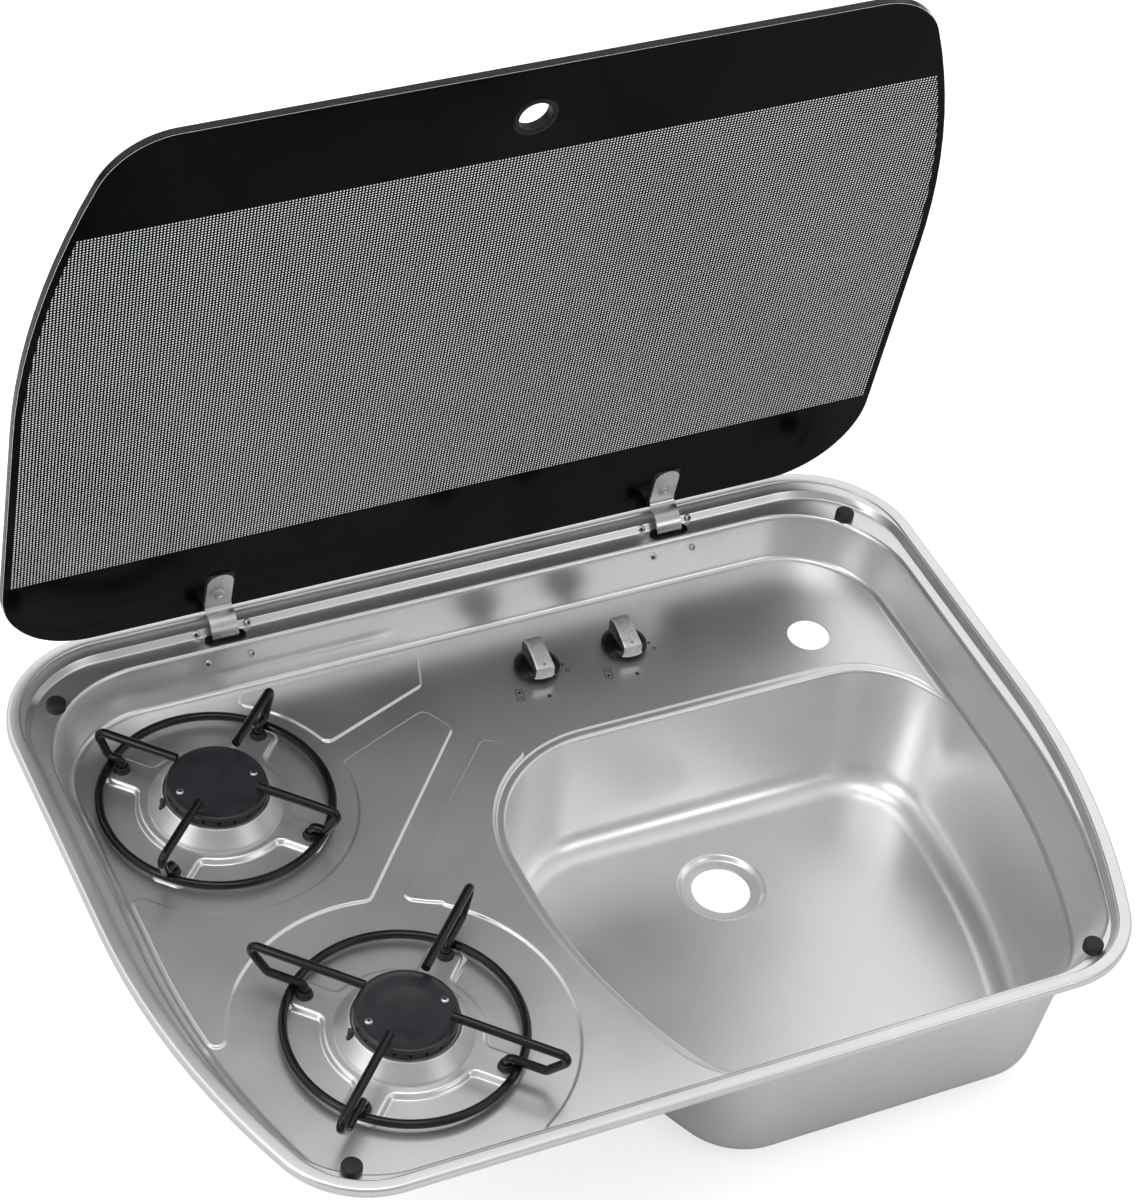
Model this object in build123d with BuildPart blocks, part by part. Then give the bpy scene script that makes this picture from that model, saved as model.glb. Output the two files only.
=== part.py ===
"""Built-in sink and two-burner gas hob in one pressed steel tray, with a hinged glass lid.

Frame: the worktop's upper face is z = 0, +Z is up, the front edge faces -Y, and the
origin is the middle of the tray.  All lengths are millimetres.  The lid stands open,
as it does in use, and each pan support sits in its four rubber feet.
"""

import os
from dataclasses import dataclass, replace
from math import atan2, cos, degrees, radians, sin, sqrt, tan

from build123d import *

os.makedirs("parts", exist_ok=True)

# ---------------------------------------------------------------- driving dimensions

# tray: one pressing of stainless sheet
TRAY_HALF_WIDTH = 300.0
TRAY_BACK = 222.5
TRAY_FRONT = -223.0
SHEET = 0.8
RIM_HEIGHT = 5.5
RIM_WIDTH = 8.0
RIM_FRONT_WIDTH = 7.5
RIM_EDGE_RADIUS = 2.0
SHELF_DROP = 1.0
SHELF_WIDTH = 8.7
STEP_SLOPE = 2.8
LEDGE_SIDE = 7.0
LEDGE_BACK = 11.5
LEDGE_FRONT = 3.0
DECK_DEPTH = 30.0
WALL_SLOPE_SIDE = 12.0
WALL_SLOPE_BACK = 7.5
WALL_SLOPE_FRONT = 8.0
WALL_FOOT_RADIUS = 4.0
LEDGE_EDGE_DROP = 2.0
LEDGE_EDGE_WIDTH = 1.4
PANEL_RAISE = 1.2
PLATFORM_RAISE = 3.0

# plan curves of the tray's outer edge
BACK_CORNER_RADIUS = 72.0
FRONT_CORNER_RADIUS = 60.0
SIDE_BOW_RADIUS = 490.0
SIDE_BOW_START = 0.0

# bowl, drain and tap hole
BOWL_BACK = 77.0
BOWL_LEFT = -42.0
BOWL_BACK_LEFT_RADIUS = 80.0
BOWL_BACK_RIGHT_RADIUS = 62.0
BOWL_LEFT_BOW_START = -20.0
BOWL_LEFT_BOW_RADIUS = 335.0
BOWL_FRONT_LEFT_RADIUS = 55.0
BOWL_DEPTH = 90.0
BOWL_DRAFT = 6.5
BOWL_FLOOR_RADIUS = 19.0
BOWL_WALL_GAP = 1.0
BOWL_LIP_WIDTH = 6.0
BOWL_LIP_DROP = 1.0
DRAIN = (110.0, 6.3)
DRAIN_HOLE_RADIUS = 18.5
DRAIN_SEAT_RADIUS = 27.0
DRAIN_SEAT_DROP = 3.0
TAP = (211.0, 111.5)
TAP_HOLE_RADIUS = 13.5

# lid and hinges
LID_OPEN_ANGLE = 81.5
LID_THICKNESS = 5.0
LID_GAP = 1.2
HINGE_X = 150.0
HINGE_AXIS_BACK = 12.0
HINGE_AXIS_DROP = 1.0
GOOSENECK_RADIUS = 13.0
GOOSENECK_SWEEP = 105.0
STRAP_THICKNESS = 1.5
STRAP_WIDTH = 17.0
STRAP_REACH = 35.0
STRAP_SCREW_REACH = 17.0
PAD_THICKNESS = 0.5
PIN_RADIUS = 2.0
RUNNING_GAP = 0.05
EYE_RADIUS = 3.8
EAR_GAP = 0.8
EAR_THICKNESS = 1.5
FINGER_HOLE_INSET = 37.0
FINGER_HOLE_RADIUS = 10.0
GROMMET_RADIUS = 13.4
BUFFER_RADIUS = 6.0
BUFFER_HEIGHT = 5.5
BUFFER_SIDES = 16
REAR_BUFFER_INSET = (16.6, 16.5)
FRONT_BUFFER_INSET = (52.0, 9.4)

# burners and pan supports
BURNERS = {"rear": (-193.5, 96.0), "front": (-155.7, -101.5)}
COLLAR_RADIUS = 40.0
COLLAR_TOP_RADIUS = 31.0
COLLAR_HEIGHT = 11.0
COLLAR_SHEET = 1.0
CAP_RADIUS = 29.8
CAP_THICKNESS = 3.0
HEAD_RADIUS = 29.5
HEAD_HEIGHT = 4.0
HEAD_SLOTS = 20
BURNER_HOLE_RADIUS = 36.5
CUP_RADIUS = 30.5
CUP_DEPTH = 24.0
TUBE_RADIUS = 9.0
TUBE_LENGTH = 48.0
PLATFORM_RADIUS = 46.0
PLATFORM_ARM_WIDTH = 21.0
PLATFORM_ARM_REACH = 68.0
FOOT_CIRCLE_RADIUS = 61.0
WIRE_RADIUS = 2.7
RING_RADIUS = 68.3
RING_HEIGHT = 6.0
BAR_HEIGHT = 28.8
BAR_INNER_RADIUS = 26.0
ARM_REACH = {"rear": 78.0, "front": 99.0}
ZONE_RADIUS = {"rear": 85.0, "front": 100.0}

# knobs, valves and pipes
KNOB_Y = 139.5
KNOB_X = {"left": 34.0, "right": 94.0}
KNOB_RADIUS = 14.5
KNOB_SKIRT_HEIGHT = 3.0
KNOB_HEIGHT = 18.0
KNOB_GRIP_WIDTH = 12.0
KNOB_LIFT = 3.0
SPINDLE_RADIUS = 3.0
VALVE_RADIUS = 12.0
VALVE_LENGTH = 31.2
VALVE_NECK_RADIUS = 6.0
PIPE_RADIUS = 3.0

# fixings and folded steel
BRACKET_SHEET = 1.5
BRACKET_HALF_LENGTH = 21.0
SCREW_RADIUS = 1.5
SCREW_HEAD_RADIUS = 2.6
SCREW_HEAD_HEIGHT = 1.3
SCREW_SIDES = 8
HEAD_SIDES = 12
STEP_SCREW_X = 16.5
STEP_SCREW_Z = 2.35
WALL_SCREW_X = 14.0
WALL_SCREW_Z = -9.0
PIN_REACH = 12.0
WASHER_THICKNESS = 0.7
SLOT_PLATE_LENGTH = 26.0
SLOT_PLATE_WIDTH = 8.6
SLOT_PLATE_THICKNESS = 1.2
SLEEVE_LENGTH = 21.0
SLEEVE_WIDTH = 5.9
SLEEVE_WALL = 1.0
SLEEVE_DEPTH = 2.0
STRAP_BOLT_RADIUS = 2.5
BOLT_HEAD_RADIUS = 4.5
BOLT_HEAD_HEIGHT = 1.2
BOLT_CAP_RADIUS = 6.0
BOLT_CAP_HEIGHT = 2.4
GROMMET_NECK_RADIUS = 11.5
GROMMET_LIP = 1.0

# burner details
BODY_SHEET = 1.5
BODY_FLANGE_RADIUS = 43.0
HEAD_INNER_RADIUS = 19.0
SLOT_WIDTH = 1.6
SLOT_HEIGHT = 2.2
CAP_SCREW_X = 23.0
CAP_SCREW_RADIUS = 1.6
CAP_RIM = 0.6
PROBE_X = 33.6
PROBE_RADIUS = 1.6
PROBE_END = -47.0
FOOT_NECK_RADIUS = 4.0
GROMMET_HEAD_RADIUS = 5.2
GROMMET_HEAD_HEIGHT = 0.8
GROMMET_BALL_RADIUS = 4.3
GROMMET_BALL_HEIGHT = 3.7
GROMMET_SIDES = 12
WIRE_SOCKET_RADIUS = 2.97
WIRE_BEND = 3.8
FOOT_END = -36.0

# valve and pipe details
SPINDLE_END = -44.0
SPRING_CUP_RADIUS = 4.6
SPRING_CUP_HEIGHT = 4.4
SPRING_CUP_TRAVEL = 2.5
PORT_RADIUS = 4.5
PORT_REACH = 16.0
MANIFOLD_WIDTH = 14.0
MANIFOLD_LEFT = -10.0
MANIFOLD_RIGHT = 112.0
PIPE_SIDES = 8
PIPE_TURN_X = -85.0
FRONT_PIPE_X = -130.0
FRONT_PIPE_Y = 106.0
FRONT_PIPE_Z = -56.5
INLET_X = -40.0
INLET_END = -112.0
INLET_RADIUS = 4.0
JET_GAP = 4.0
JET_RADIUS = 4.5
JET_LENGTH = 10.0
SEAL_INSET = 1.2
SEAL_WIDTH = 5.4

# ---------------------------------------------------------------- derived places

deck_z = -DECK_DEPTH
floor_z = deck_z - BOWL_DEPTH
platform_z = deck_z + PLATFORM_RAISE
hinge_z = -HINGE_AXIS_DROP
lid_rest_z = BUFFER_HEIGHT + 0.1
ring_z = deck_z + RING_HEIGHT
bar_z = deck_z + BAR_HEIGHT


@dataclass(frozen=True)
class Side:
    """One side of a plan outline: straight, then bowed in to a round front corner."""

    x: float
    back_radius: float
    bow_start: float
    bow_radius: float
    front_radius: float

    def grown(self, amount):
        return replace(
            self,
            x=self.x + amount,
            back_radius=self.back_radius + amount,
            bow_radius=self.bow_radius + amount,
            front_radius=self.front_radius + amount,
        )


@dataclass(frozen=True)
class Outline:
    """A closed plan outline with straight back and front edges."""

    right: Side
    left: Side
    back: float
    front: float

    def grown(self, amount):
        return Outline(
            self.right.grown(amount),
            self.left.grown(amount),
            self.back + amount,
            self.front - amount,
        )

    def moved(self, amount):
        return Outline(
            replace(self.right, bow_start=self.right.bow_start + amount),
            replace(self.left, bow_start=self.left.bow_start + amount),
            self.back + amount,
            self.front + amount,
        )


def even(x, back_radius, bow_start, bow_radius, front_radius, back, front):
    """An outline whose left side mirrors its right side."""
    side = Side(x, back_radius, bow_start, bow_radius, front_radius)
    return Outline(side, side, back, front)


tray_edge = even(
    TRAY_HALF_WIDTH,
    BACK_CORNER_RADIUS,
    SIDE_BOW_START,
    SIDE_BOW_RADIUS,
    FRONT_CORNER_RADIUS,
    TRAY_BACK,
    TRAY_FRONT,
)
shelf_edge = replace(
    tray_edge.grown(-RIM_WIDTH),
    front=TRAY_FRONT + RIM_FRONT_WIDTH,
)
step_top = replace(
    shelf_edge.grown(-0.5),
    back=shelf_edge.back - SHELF_WIDTH,
    front=shelf_edge.front + 0.2,
)
step_foot = step_top.grown(-STEP_SLOPE)
ledge_edge = even(
    step_foot.right.x - LEDGE_SIDE,
    BACK_CORNER_RADIUS,
    SIDE_BOW_START - 20.0,
    SIDE_BOW_RADIUS,
    FRONT_CORNER_RADIUS + 6.0,
    step_foot.back - LEDGE_BACK,
    step_foot.front + LEDGE_FRONT,
)
deck_edge = even(
    ledge_edge.right.x - WALL_SLOPE_SIDE,
    BACK_CORNER_RADIUS - 10.0,
    SIDE_BOW_START - 5.0,
    SIDE_BOW_RADIUS - 28.0,
    FRONT_CORNER_RADIUS - 10.0,
    ledge_edge.back - WALL_SLOPE_BACK,
    ledge_edge.front + WALL_SLOPE_FRONT,
)
wall_share = LEDGE_EDGE_DROP / DECK_DEPTH
wall_top = even(
    ledge_edge.right.x - wall_share * WALL_SLOPE_SIDE,
    ledge_edge.right.back_radius - wall_share * 10.0,
    ledge_edge.right.bow_start + wall_share * 15.0,
    ledge_edge.right.bow_radius - wall_share * 28.0,
    ledge_edge.right.front_radius - wall_share * 16.0,
    ledge_edge.back - wall_share * WALL_SLOPE_BACK,
    ledge_edge.front + wall_share * WALL_SLOPE_FRONT,
)
ledge_round = ledge_edge.grown(LEDGE_EDGE_WIDTH)
bowl_edge = Outline(
    replace(deck_edge.right.grown(-BOWL_WALL_GAP), back_radius=BOWL_BACK_RIGHT_RADIUS),
    Side(
        -BOWL_LEFT,
        BOWL_BACK_LEFT_RADIUS,
        BOWL_LEFT_BOW_START,
        BOWL_LEFT_BOW_RADIUS,
        BOWL_FRONT_LEFT_RADIUS,
    ),
    BOWL_BACK,
    deck_edge.front + BOWL_WALL_GAP,
)
lip_edge = Outline(
    bowl_edge.right,
    bowl_edge.left.grown(BOWL_LIP_WIDTH),
    bowl_edge.back + BOWL_LIP_WIDTH,
    bowl_edge.front,
)
lid_edge = replace(
    step_foot.grown(-LID_GAP),
    back=step_foot.back - LID_GAP,
    front=step_top.front + LID_GAP,
)

hinge_y = step_foot.back + HINGE_AXIS_BACK - 4.5
wall_lean = WALL_SLOPE_BACK / DECK_DEPTH
step_lean = STEP_SLOPE / (RIM_HEIGHT - SHELF_DROP)
hinge_axis = Axis((0, hinge_y, hinge_z), (1, 0, 0))
slot_y = hinge_y - GOOSENECK_RADIUS
glass_z = lid_rest_z
strap_z = glass_z - PAD_THICKNESS - STRAP_THICKNESS
strap_end_y = lid_edge.back - STRAP_REACH
strap_screw_y = lid_edge.back - STRAP_SCREW_REACH
finger_hole_y = lid_edge.front + FINGER_HOLE_INSET


# ---------------------------------------------------------------- shared shapes


def side_arcs(side, outline, sign):
    """Draw one side of an outline; sign is 1 for the right side and -1 for the left."""
    bow_x = side.x - side.bow_radius
    corner_y = outline.front + side.front_radius
    reach = side.bow_radius - side.front_radius
    corner_x = bow_x + sqrt(reach**2 - (corner_y - side.bow_start) ** 2)
    turn = -degrees(atan2(corner_y - side.bow_start, corner_x - bow_x))
    corner_top = outline.back - side.back_radius

    def arc(x, y, radius, start, size):
        first = start if sign > 0 else 180 - start - size
        CenterArc((sign * x, y), radius, first, size)

    arc(side.x - side.back_radius, corner_top, side.back_radius, 0, 90)
    Line((sign * side.x, corner_top), (sign * side.x, side.bow_start))
    arc(bow_x, side.bow_start, side.bow_radius, -turn, turn)
    arc(corner_x, corner_y, side.front_radius, -90, 90 - turn)
    return side.x - side.back_radius, corner_x


def plan(outline):
    """The outline as a filled flat shape."""
    with BuildSketch() as flat:
        with BuildLine():
            right_back, right_front = side_arcs(outline.right, outline, 1)
            left_back, left_front = side_arcs(outline.left, outline, -1)
            Line((-left_back, outline.back), (right_back, outline.back))
            Line((-left_front, outline.front), (right_front, outline.front))
        make_face()
    return flat.sketch


def funnel(*sections):
    """Straight walls through (z, outline) sections, from the lowest up, filled solid."""
    with BuildPart() as block:
        for z, outline in sections:
            with BuildSketch(Plane.XY.offset(z)):
                add(plan(outline))
        loft(ruled=True)
    return block.part


def turned(centre, profile):
    """Revolve a closed profile of (radius, z) points about a vertical axis."""
    x, y = centre
    with BuildPart() as body:
        with BuildSketch(Plane((x, y, 0), (1, 0, 0), (0, -1, 0))):
            with BuildLine():
                Polyline(*profile, close=True)
            make_face()
        revolve(axis=Axis((x, y, 0), (0, 0, 1)))
    return body.part


def arm_points(centre, radius, start=45.0):
    """Four points at right angles round a centre."""
    x, y = centre
    turns = [radians(start + 90 * step) for step in range(4)]
    return [(x + radius * cos(turn), y + radius * sin(turn)) for turn in turns]


def save(builder, label):
    builder.part.label = label
    export_step(builder.part, f"parts/{label}.step")
    print(label, len(builder.part.solids()), round(builder.part.volume, 1))


# ---------------------------------------------------------------- tray


def raised_panels():
    """The three embossed panels between the burner zones, as flat sketches."""
    rear_x, rear_y = BURNERS["rear"]
    front_x, front_y = BURNERS["front"]
    upper = [(-175, 176.5), (-31, 176.5), (-40, 149), (-150, 108)]
    middle = [(-290, 44), (-200, 44), (-150, 88.5), (-47, 128.3), (-36, 109)]
    middle += [(-150, -18.4), (-150, -81), (-290, -81)]
    lower = [(-119, -9), (-97, -18.8), (-110, -60), (-110, -210), (60, -210)]
    lower += [(60, 0), (-7, 83), (-22.5, 94)]
    panels = []
    for corners in (upper, middle, lower):
        with BuildSketch() as panel:
            with BuildLine():
                Polyline(*corners, close=True)
            make_face()
            with Locations((rear_x, rear_y)):
                Circle(ZONE_RADIUS["rear"], mode=Mode.SUBTRACT)
            with Locations((front_x, front_y)):
                Circle(ZONE_RADIUS["front"], mode=Mode.SUBTRACT)
            add(plan(lip_edge.grown(2.0)), mode=Mode.SUBTRACT)
            add(plan(deck_edge.grown(-WALL_FOOT_RADIUS)), mode=Mode.INTERSECT)
            offset(amount=-5.0, mode=Mode.REPLACE)
            offset(amount=5.0, mode=Mode.REPLACE)
        panels.append(panel.sketch)
    return panels


def platform(centre):
    """The raised star round a burner hole, with an arm out to each rubber foot."""
    with BuildSketch() as star:
        with Locations(centre):
            Circle(PLATFORM_RADIUS)
            with PolarLocations(0, 2, start_angle=45, angular_range=180):
                Rectangle(2 * PLATFORM_ARM_REACH, PLATFORM_ARM_WIDTH)
        fillet(star.vertices(), 5.0)
    return star.sketch


panels = raised_panels()
platforms = [platform(centre) for centre in BURNERS.values()]


def space_above(skin):
    """What lies above the sheet; grown by one skin it also holds the sheet itself."""
    shelf_z = RIM_HEIGHT - SHELF_DROP - skin
    top_z = RIM_HEIGHT if skin else RIM_HEIGHT + 5.0
    bowl_top = deck_z + 1.5 * WALL_FOOT_RADIUS
    bowl_grow = 1.5 * WALL_FOOT_RADIUS * tan(radians(BOWL_DRAFT)) + skin
    with BuildPart() as space:
        with BuildSketch(Plane.XY.offset(shelf_z)):
            add(plan(shelf_edge.grown(skin)))
        extrude(amount=top_z - shelf_z)
        add(funnel((-skin, step_foot.grown(skin)), (shelf_z, step_top.grown(skin))))
        well = funnel(
            (deck_z - skin, deck_edge.grown(skin)),
            (-LEDGE_EDGE_DROP - skin, wall_top.grown(skin)),
            (-skin, ledge_round.grown(skin)),
        )
        foot_edges = well.faces().sort_by(Axis.Z)[0].edges()
        add(well.fillet(WALL_FOOT_RADIUS + skin, foot_edges))
        for panel in panels:
            with BuildSketch(Plane.XY.offset(deck_z - skin)):
                add(offset(panel, -skin, mode=Mode.PRIVATE) if skin else panel)
            extrude(amount=PANEL_RAISE, mode=Mode.SUBTRACT)
        for star in platforms:
            with BuildSketch(Plane.XY.offset(deck_z - skin)):
                add(offset(star, -skin, mode=Mode.PRIVATE) if skin else star)
            extrude(amount=PLATFORM_RAISE, taper=20, mode=Mode.SUBTRACT)
        with BuildSketch(Plane.XY.offset(deck_z - BOWL_LIP_DROP - skin)):
            add(plan(lip_edge.grown(skin)))
        extrude(amount=BOWL_LIP_DROP + WALL_FOOT_RADIUS)
        with BuildPart(mode=Mode.PRIVATE) as bowl:
            with BuildSketch(Plane.XY.offset(bowl_top)):
                add(plan(bowl_edge.grown(bowl_grow)))
            extrude(amount=-(bowl_top - floor_z + skin), taper=BOWL_DRAFT)
            fillet(bowl.faces().sort_by(Axis.Z)[0].edges(), BOWL_FLOOR_RADIUS + skin)
        add(bowl.part)
        with Locations((*DRAIN, floor_z - skin)):
            Cone(
                DRAIN_SEAT_RADIUS - DRAIN_SEAT_DROP + skin,
                DRAIN_SEAT_RADIUS + skin,
                DRAIN_SEAT_DROP,
                align=(Align.CENTER, Align.CENTER, Align.MAX),
            )
    return space.part


open_space = space_above(0.0)
sheet_space = space_above(SHEET)
bracket_space = space_above(SHEET + BRACKET_SHEET)


def upright(x, y, top, radius, depth):
    """A vertical cylinder hanging down from its top face."""
    with BuildPart(Plane((x, y, top))) as rod:
        Cylinder(radius, depth, align=(Align.CENTER, Align.CENTER, Align.MAX))
    return rod.part


def prism(x, y, top, radius, depth, sides):
    """An upright rod with flats, hanging down from its top face."""
    with BuildPart() as rod:
        with BuildSketch(Plane((x, y, top))):
            RegularPolygon(radius, sides)
        extrude(amount=-depth)
    return rod.part


def block(x_range, y_range, z_range):
    """A box between three pairs of limits."""
    size = [high - low for low, high in (x_range, y_range, z_range)]
    middle = [(high + low) / 2 for low, high in (x_range, y_range, z_range)]
    with BuildPart(Plane(middle)) as box:
        Box(*size)
    return box.part


def screw(point, normal, shank_length, head=True):
    """A pan-head screw driven in against its normal, or only its shank."""
    seat = Plane(point, z_dir=normal)
    with BuildPart() as body:
        with BuildSketch(seat):
            RegularPolygon(SCREW_RADIUS, SCREW_SIDES)
        extrude(amount=-shank_length)
        if head:
            with BuildSketch(seat):
                RegularPolygon(SCREW_HEAD_RADIUS, HEAD_SIDES)
            extrude(amount=SCREW_HEAD_HEIGHT)
    return body.part


def hinge_screws(head=True):
    """Two screws on the step and two on the well wall, for each hinge."""
    step_normal = (0, -1, step_lean)
    wall_normal = (0, -1, wall_lean)
    step_y = step_foot.back + STEP_SCREW_Z * step_lean
    wall_y = wall_top.back + (LEDGE_EDGE_DROP + WALL_SCREW_Z) * wall_lean
    screws = []
    for hinge_x in (-HINGE_X, HINGE_X):
        for side in (-1, 1):
            step_point = (hinge_x + side * STEP_SCREW_X, step_y, STEP_SCREW_Z)
            wall_point = (hinge_x + side * WALL_SCREW_X, wall_y, WALL_SCREW_Z)
            screws.append(screw(step_point, step_normal, 4.0, head))
            screws.append(screw(wall_point, wall_normal, 4.0, head))
    return screws


slots = [
    block(
        (hinge_x - SLEEVE_LENGTH / 2, hinge_x + SLEEVE_LENGTH / 2),
        (slot_y - SLEEVE_WIDTH / 2, slot_y + SLEEVE_WIDTH / 2),
        (-5, 5),
    )
    for hinge_x in (-HINGE_X, HINGE_X)
]
feet = {name: arm_points(centre, FOOT_CIRCLE_RADIUS) for name, centre in BURNERS.items()}

with BuildPart() as tray:
    with BuildSketch():
        add(plan(tray_edge))
    extrude(amount=RIM_HEIGHT)
    fillet(tray.faces().sort_by(Axis.Z)[-1].edges(), RIM_EDGE_RADIUS)
    with BuildSketch():
        add(plan(tray_edge.grown(-SHEET)))
    extrude(amount=RIM_HEIGHT - SHEET, mode=Mode.SUBTRACT)
    add(sheet_space)
    add(open_space, mode=Mode.SUBTRACT)
    for slot in slots:
        add(slot, mode=Mode.SUBTRACT)
    for shank in hinge_screws(head=False):
        add(shank, mode=Mode.SUBTRACT)
    with Locations((*TAP, deck_z)):
        Cylinder(TAP_HOLE_RADIUS, 10, mode=Mode.SUBTRACT)
    with Locations((*DRAIN, floor_z)):
        Cylinder(DRAIN_HOLE_RADIUS, 20, mode=Mode.SUBTRACT)
    with Locations(*[(*centre, deck_z) for centre in BURNERS.values()]):
        Cylinder(BURNER_HOLE_RADIUS, 10, mode=Mode.SUBTRACT)
    with Locations(*[(*foot, deck_z) for foot in feet["rear"] + feet["front"]]):
        Cylinder(FOOT_NECK_RADIUS, 10, mode=Mode.SUBTRACT)
    with Locations(*[(x, KNOB_Y, deck_z) for x in KNOB_X.values()]):
        Cylinder(VALVE_NECK_RADIUS, 10, mode=Mode.SUBTRACT)

save(tray, "tray")

with BuildPart() as rim_seal:
    with BuildSketch():
        add(plan(tray_edge.grown(-SEAL_INSET)))
        add(plan(tray_edge.grown(-SEAL_INSET - SEAL_WIDTH)), mode=Mode.SUBTRACT)
    extrude(amount=RIM_HEIGHT - SHEET)

save(rim_seal, "rim_seal")

# rubber buttons in the ledge's corners, moulded to sit over its rounded edge
rear_x = ledge_edge.right.x - REAR_BUFFER_INSET[0]
rear_y = ledge_edge.back - REAR_BUFFER_INSET[1]
front_x = ledge_edge.right.x - FRONT_BUFFER_INSET[0]
front_y = ledge_edge.front + FRONT_BUFFER_INSET[1]
buffer_spots = {
    "buffer_rear_left": (-rear_x, rear_y),
    "buffer_rear_right": (rear_x, rear_y),
    "buffer_front_left": (-front_x, front_y),
    "buffer_front_right": (front_x, front_y),
}
for name, (x, y) in buffer_spots.items():
    with BuildPart() as buffer:
        add(prism(x, y, BUFFER_HEIGHT, BUFFER_RADIUS, BUFFER_HEIGHT + LEDGE_EDGE_DROP, BUFFER_SIDES))
        chamfer(buffer.faces().sort_by(Axis.Z)[-1].edges(), 0.9)
        add(open_space, mode=Mode.INTERSECT)
    save(buffer, name)

# ---------------------------------------------------------------- hinges

for name, hinge_x in (("left", -HINGE_X), ("right", HINGE_X)):
    with BuildPart() as slot_insert:
        with BuildSketch(Plane((hinge_x, slot_y + 0.7, 0))):
            SlotOverall(SLOT_PLATE_LENGTH, SLOT_PLATE_WIDTH)
        extrude(amount=SLOT_PLATE_THICKNESS)
        with BuildSketch(Plane((hinge_x, slot_y, 0))):
            Rectangle(SLEEVE_LENGTH, SLEEVE_WIDTH)
        extrude(amount=-SLEEVE_DEPTH)
        with BuildSketch(Plane((hinge_x, slot_y, SLOT_PLATE_THICKNESS))):
            Rectangle(SLEEVE_LENGTH - 2 * SLEEVE_WALL, SLEEVE_WIDTH - 2 * SLEEVE_WALL)
        extrude(amount=-SLOT_PLATE_THICKNESS - SLEEVE_DEPTH, mode=Mode.SUBTRACT)
    save(slot_insert, f"hinge_slot_{name}")

    # two ears on one folded plate that hugs the tray's underside
    ear_in = STRAP_WIDTH / 2 + EAR_GAP
    ear_out = ear_in + EAR_THICKNESS
    reach = BRACKET_HALF_LENGTH
    with BuildPart() as bracket:
        add(block((hinge_x - reach, hinge_x + reach), (184, 200), (-15, -5)))
        for side in (-1, 1):
            ends = sorted((hinge_x + side * ear_in, hinge_x + side * reach))
            add(block(ends, (184, 209), (-15, 3)))
        add(bracket_space, mode=Mode.INTERSECT)
        for side in (-1, 1):
            inner_x = hinge_x + side * ear_in
            with BuildSketch(Plane((inner_x, 0, 0), (0, side, 0), (side, 0, 0))):
                with BuildLine():
                    ear = [(188, -14), (206, -9), (214.8, -5), (214.8, 3.2), (196, 3.2)]
                    Polyline(*[(side * y, z) for y, z in ear], close=True)
                make_face()
            extrude(amount=EAR_THICKNESS)
        add(sheet_space, mode=Mode.SUBTRACT)
        add(
            block(
                (hinge_x - SLEEVE_LENGTH / 2 - 0.4, hinge_x + SLEEVE_LENGTH / 2 + 0.4),
                (slot_y - SLEEVE_WIDTH / 2 - 0.4, slot_y + SLEEVE_WIDTH / 2 + 0.4),
                (-SLEEVE_DEPTH - 0.5, 0),
            ),
            mode=Mode.SUBTRACT,
        )
        with Locations(Plane((hinge_x, hinge_y, hinge_z), z_dir=(1, 0, 0))):
            Cylinder(PIN_RADIUS, 2 * reach, mode=Mode.SUBTRACT)
        for shank in hinge_screws(head=False):
            add(shank, mode=Mode.SUBTRACT)
    save(bracket, f"hinge_bracket_{name}")

with BuildPart() as hinge_pins:
    for hinge_x in (-HINGE_X, HINGE_X):
        with Locations(Plane((hinge_x, hinge_y, hinge_z), z_dir=(1, 0, 0))):
            Cylinder(PIN_RADIUS, 2 * PIN_REACH)

save(hinge_pins, "hinge_pins")

with BuildPart() as hinge_washers:
    for hinge_x in (-HINGE_X, HINGE_X):
        for side in (-1, 1):
            middle_x = hinge_x + side * (STRAP_WIDTH / 2 + EAR_GAP - WASHER_THICKNESS / 2)
            with Locations(Plane((middle_x, hinge_y, hinge_z), z_dir=(1, 0, 0))):
                Cylinder(EYE_RADIUS - 0.3, WASHER_THICKNESS)
                Cylinder(PIN_RADIUS, WASHER_THICKNESS, mode=Mode.SUBTRACT)

save(hinge_washers, "hinge_washers")

with BuildPart() as tray_screws:
    for one in hinge_screws():
        add(one)

save(tray_screws, "hinge_screws")

# ---------------------------------------------------------------- lid, drawn shut


def opened(label, part):
    """Turn a lid piece from its shut place to the open one and save it."""
    with BuildPart() as piece:
        add(part.rotate(hinge_axis, -LID_OPEN_ANGLE))
    save(piece, label)


with BuildPart() as lid_glass:
    with BuildSketch(Plane.XY.offset(glass_z)):
        add(plan(lid_edge))
        with Locations((0, finger_hole_y)):
            Circle(GROMMET_NECK_RADIUS, mode=Mode.SUBTRACT)
        with Locations((-HINGE_X, strap_screw_y), (HINGE_X, strap_screw_y)):
            Circle(STRAP_BOLT_RADIUS, mode=Mode.SUBTRACT)
    extrude(amount=LID_THICKNESS)
    chamfer(lid_glass.faces().sort_by(Axis.Z)[-1].outer_wire().edges(), 0.6)

opened("lid_glass", lid_glass.part)

grommet_low = glass_z - GROMMET_LIP
grommet_high = glass_z + LID_THICKNESS + GROMMET_LIP
finger_ring = turned(
    (0, finger_hole_y),
    [
        (FINGER_HOLE_RADIUS, grommet_low),
        (GROMMET_RADIUS, grommet_low),
        (GROMMET_RADIUS, glass_z),
        (GROMMET_NECK_RADIUS, glass_z),
        (GROMMET_NECK_RADIUS, glass_z + LID_THICKNESS),
        (GROMMET_RADIUS, glass_z + LID_THICKNESS),
        (GROMMET_RADIUS, grommet_high),
        (FINGER_HOLE_RADIUS, grommet_high),
    ],
)
opened("finger_hole_ring", finger_ring)

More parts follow.
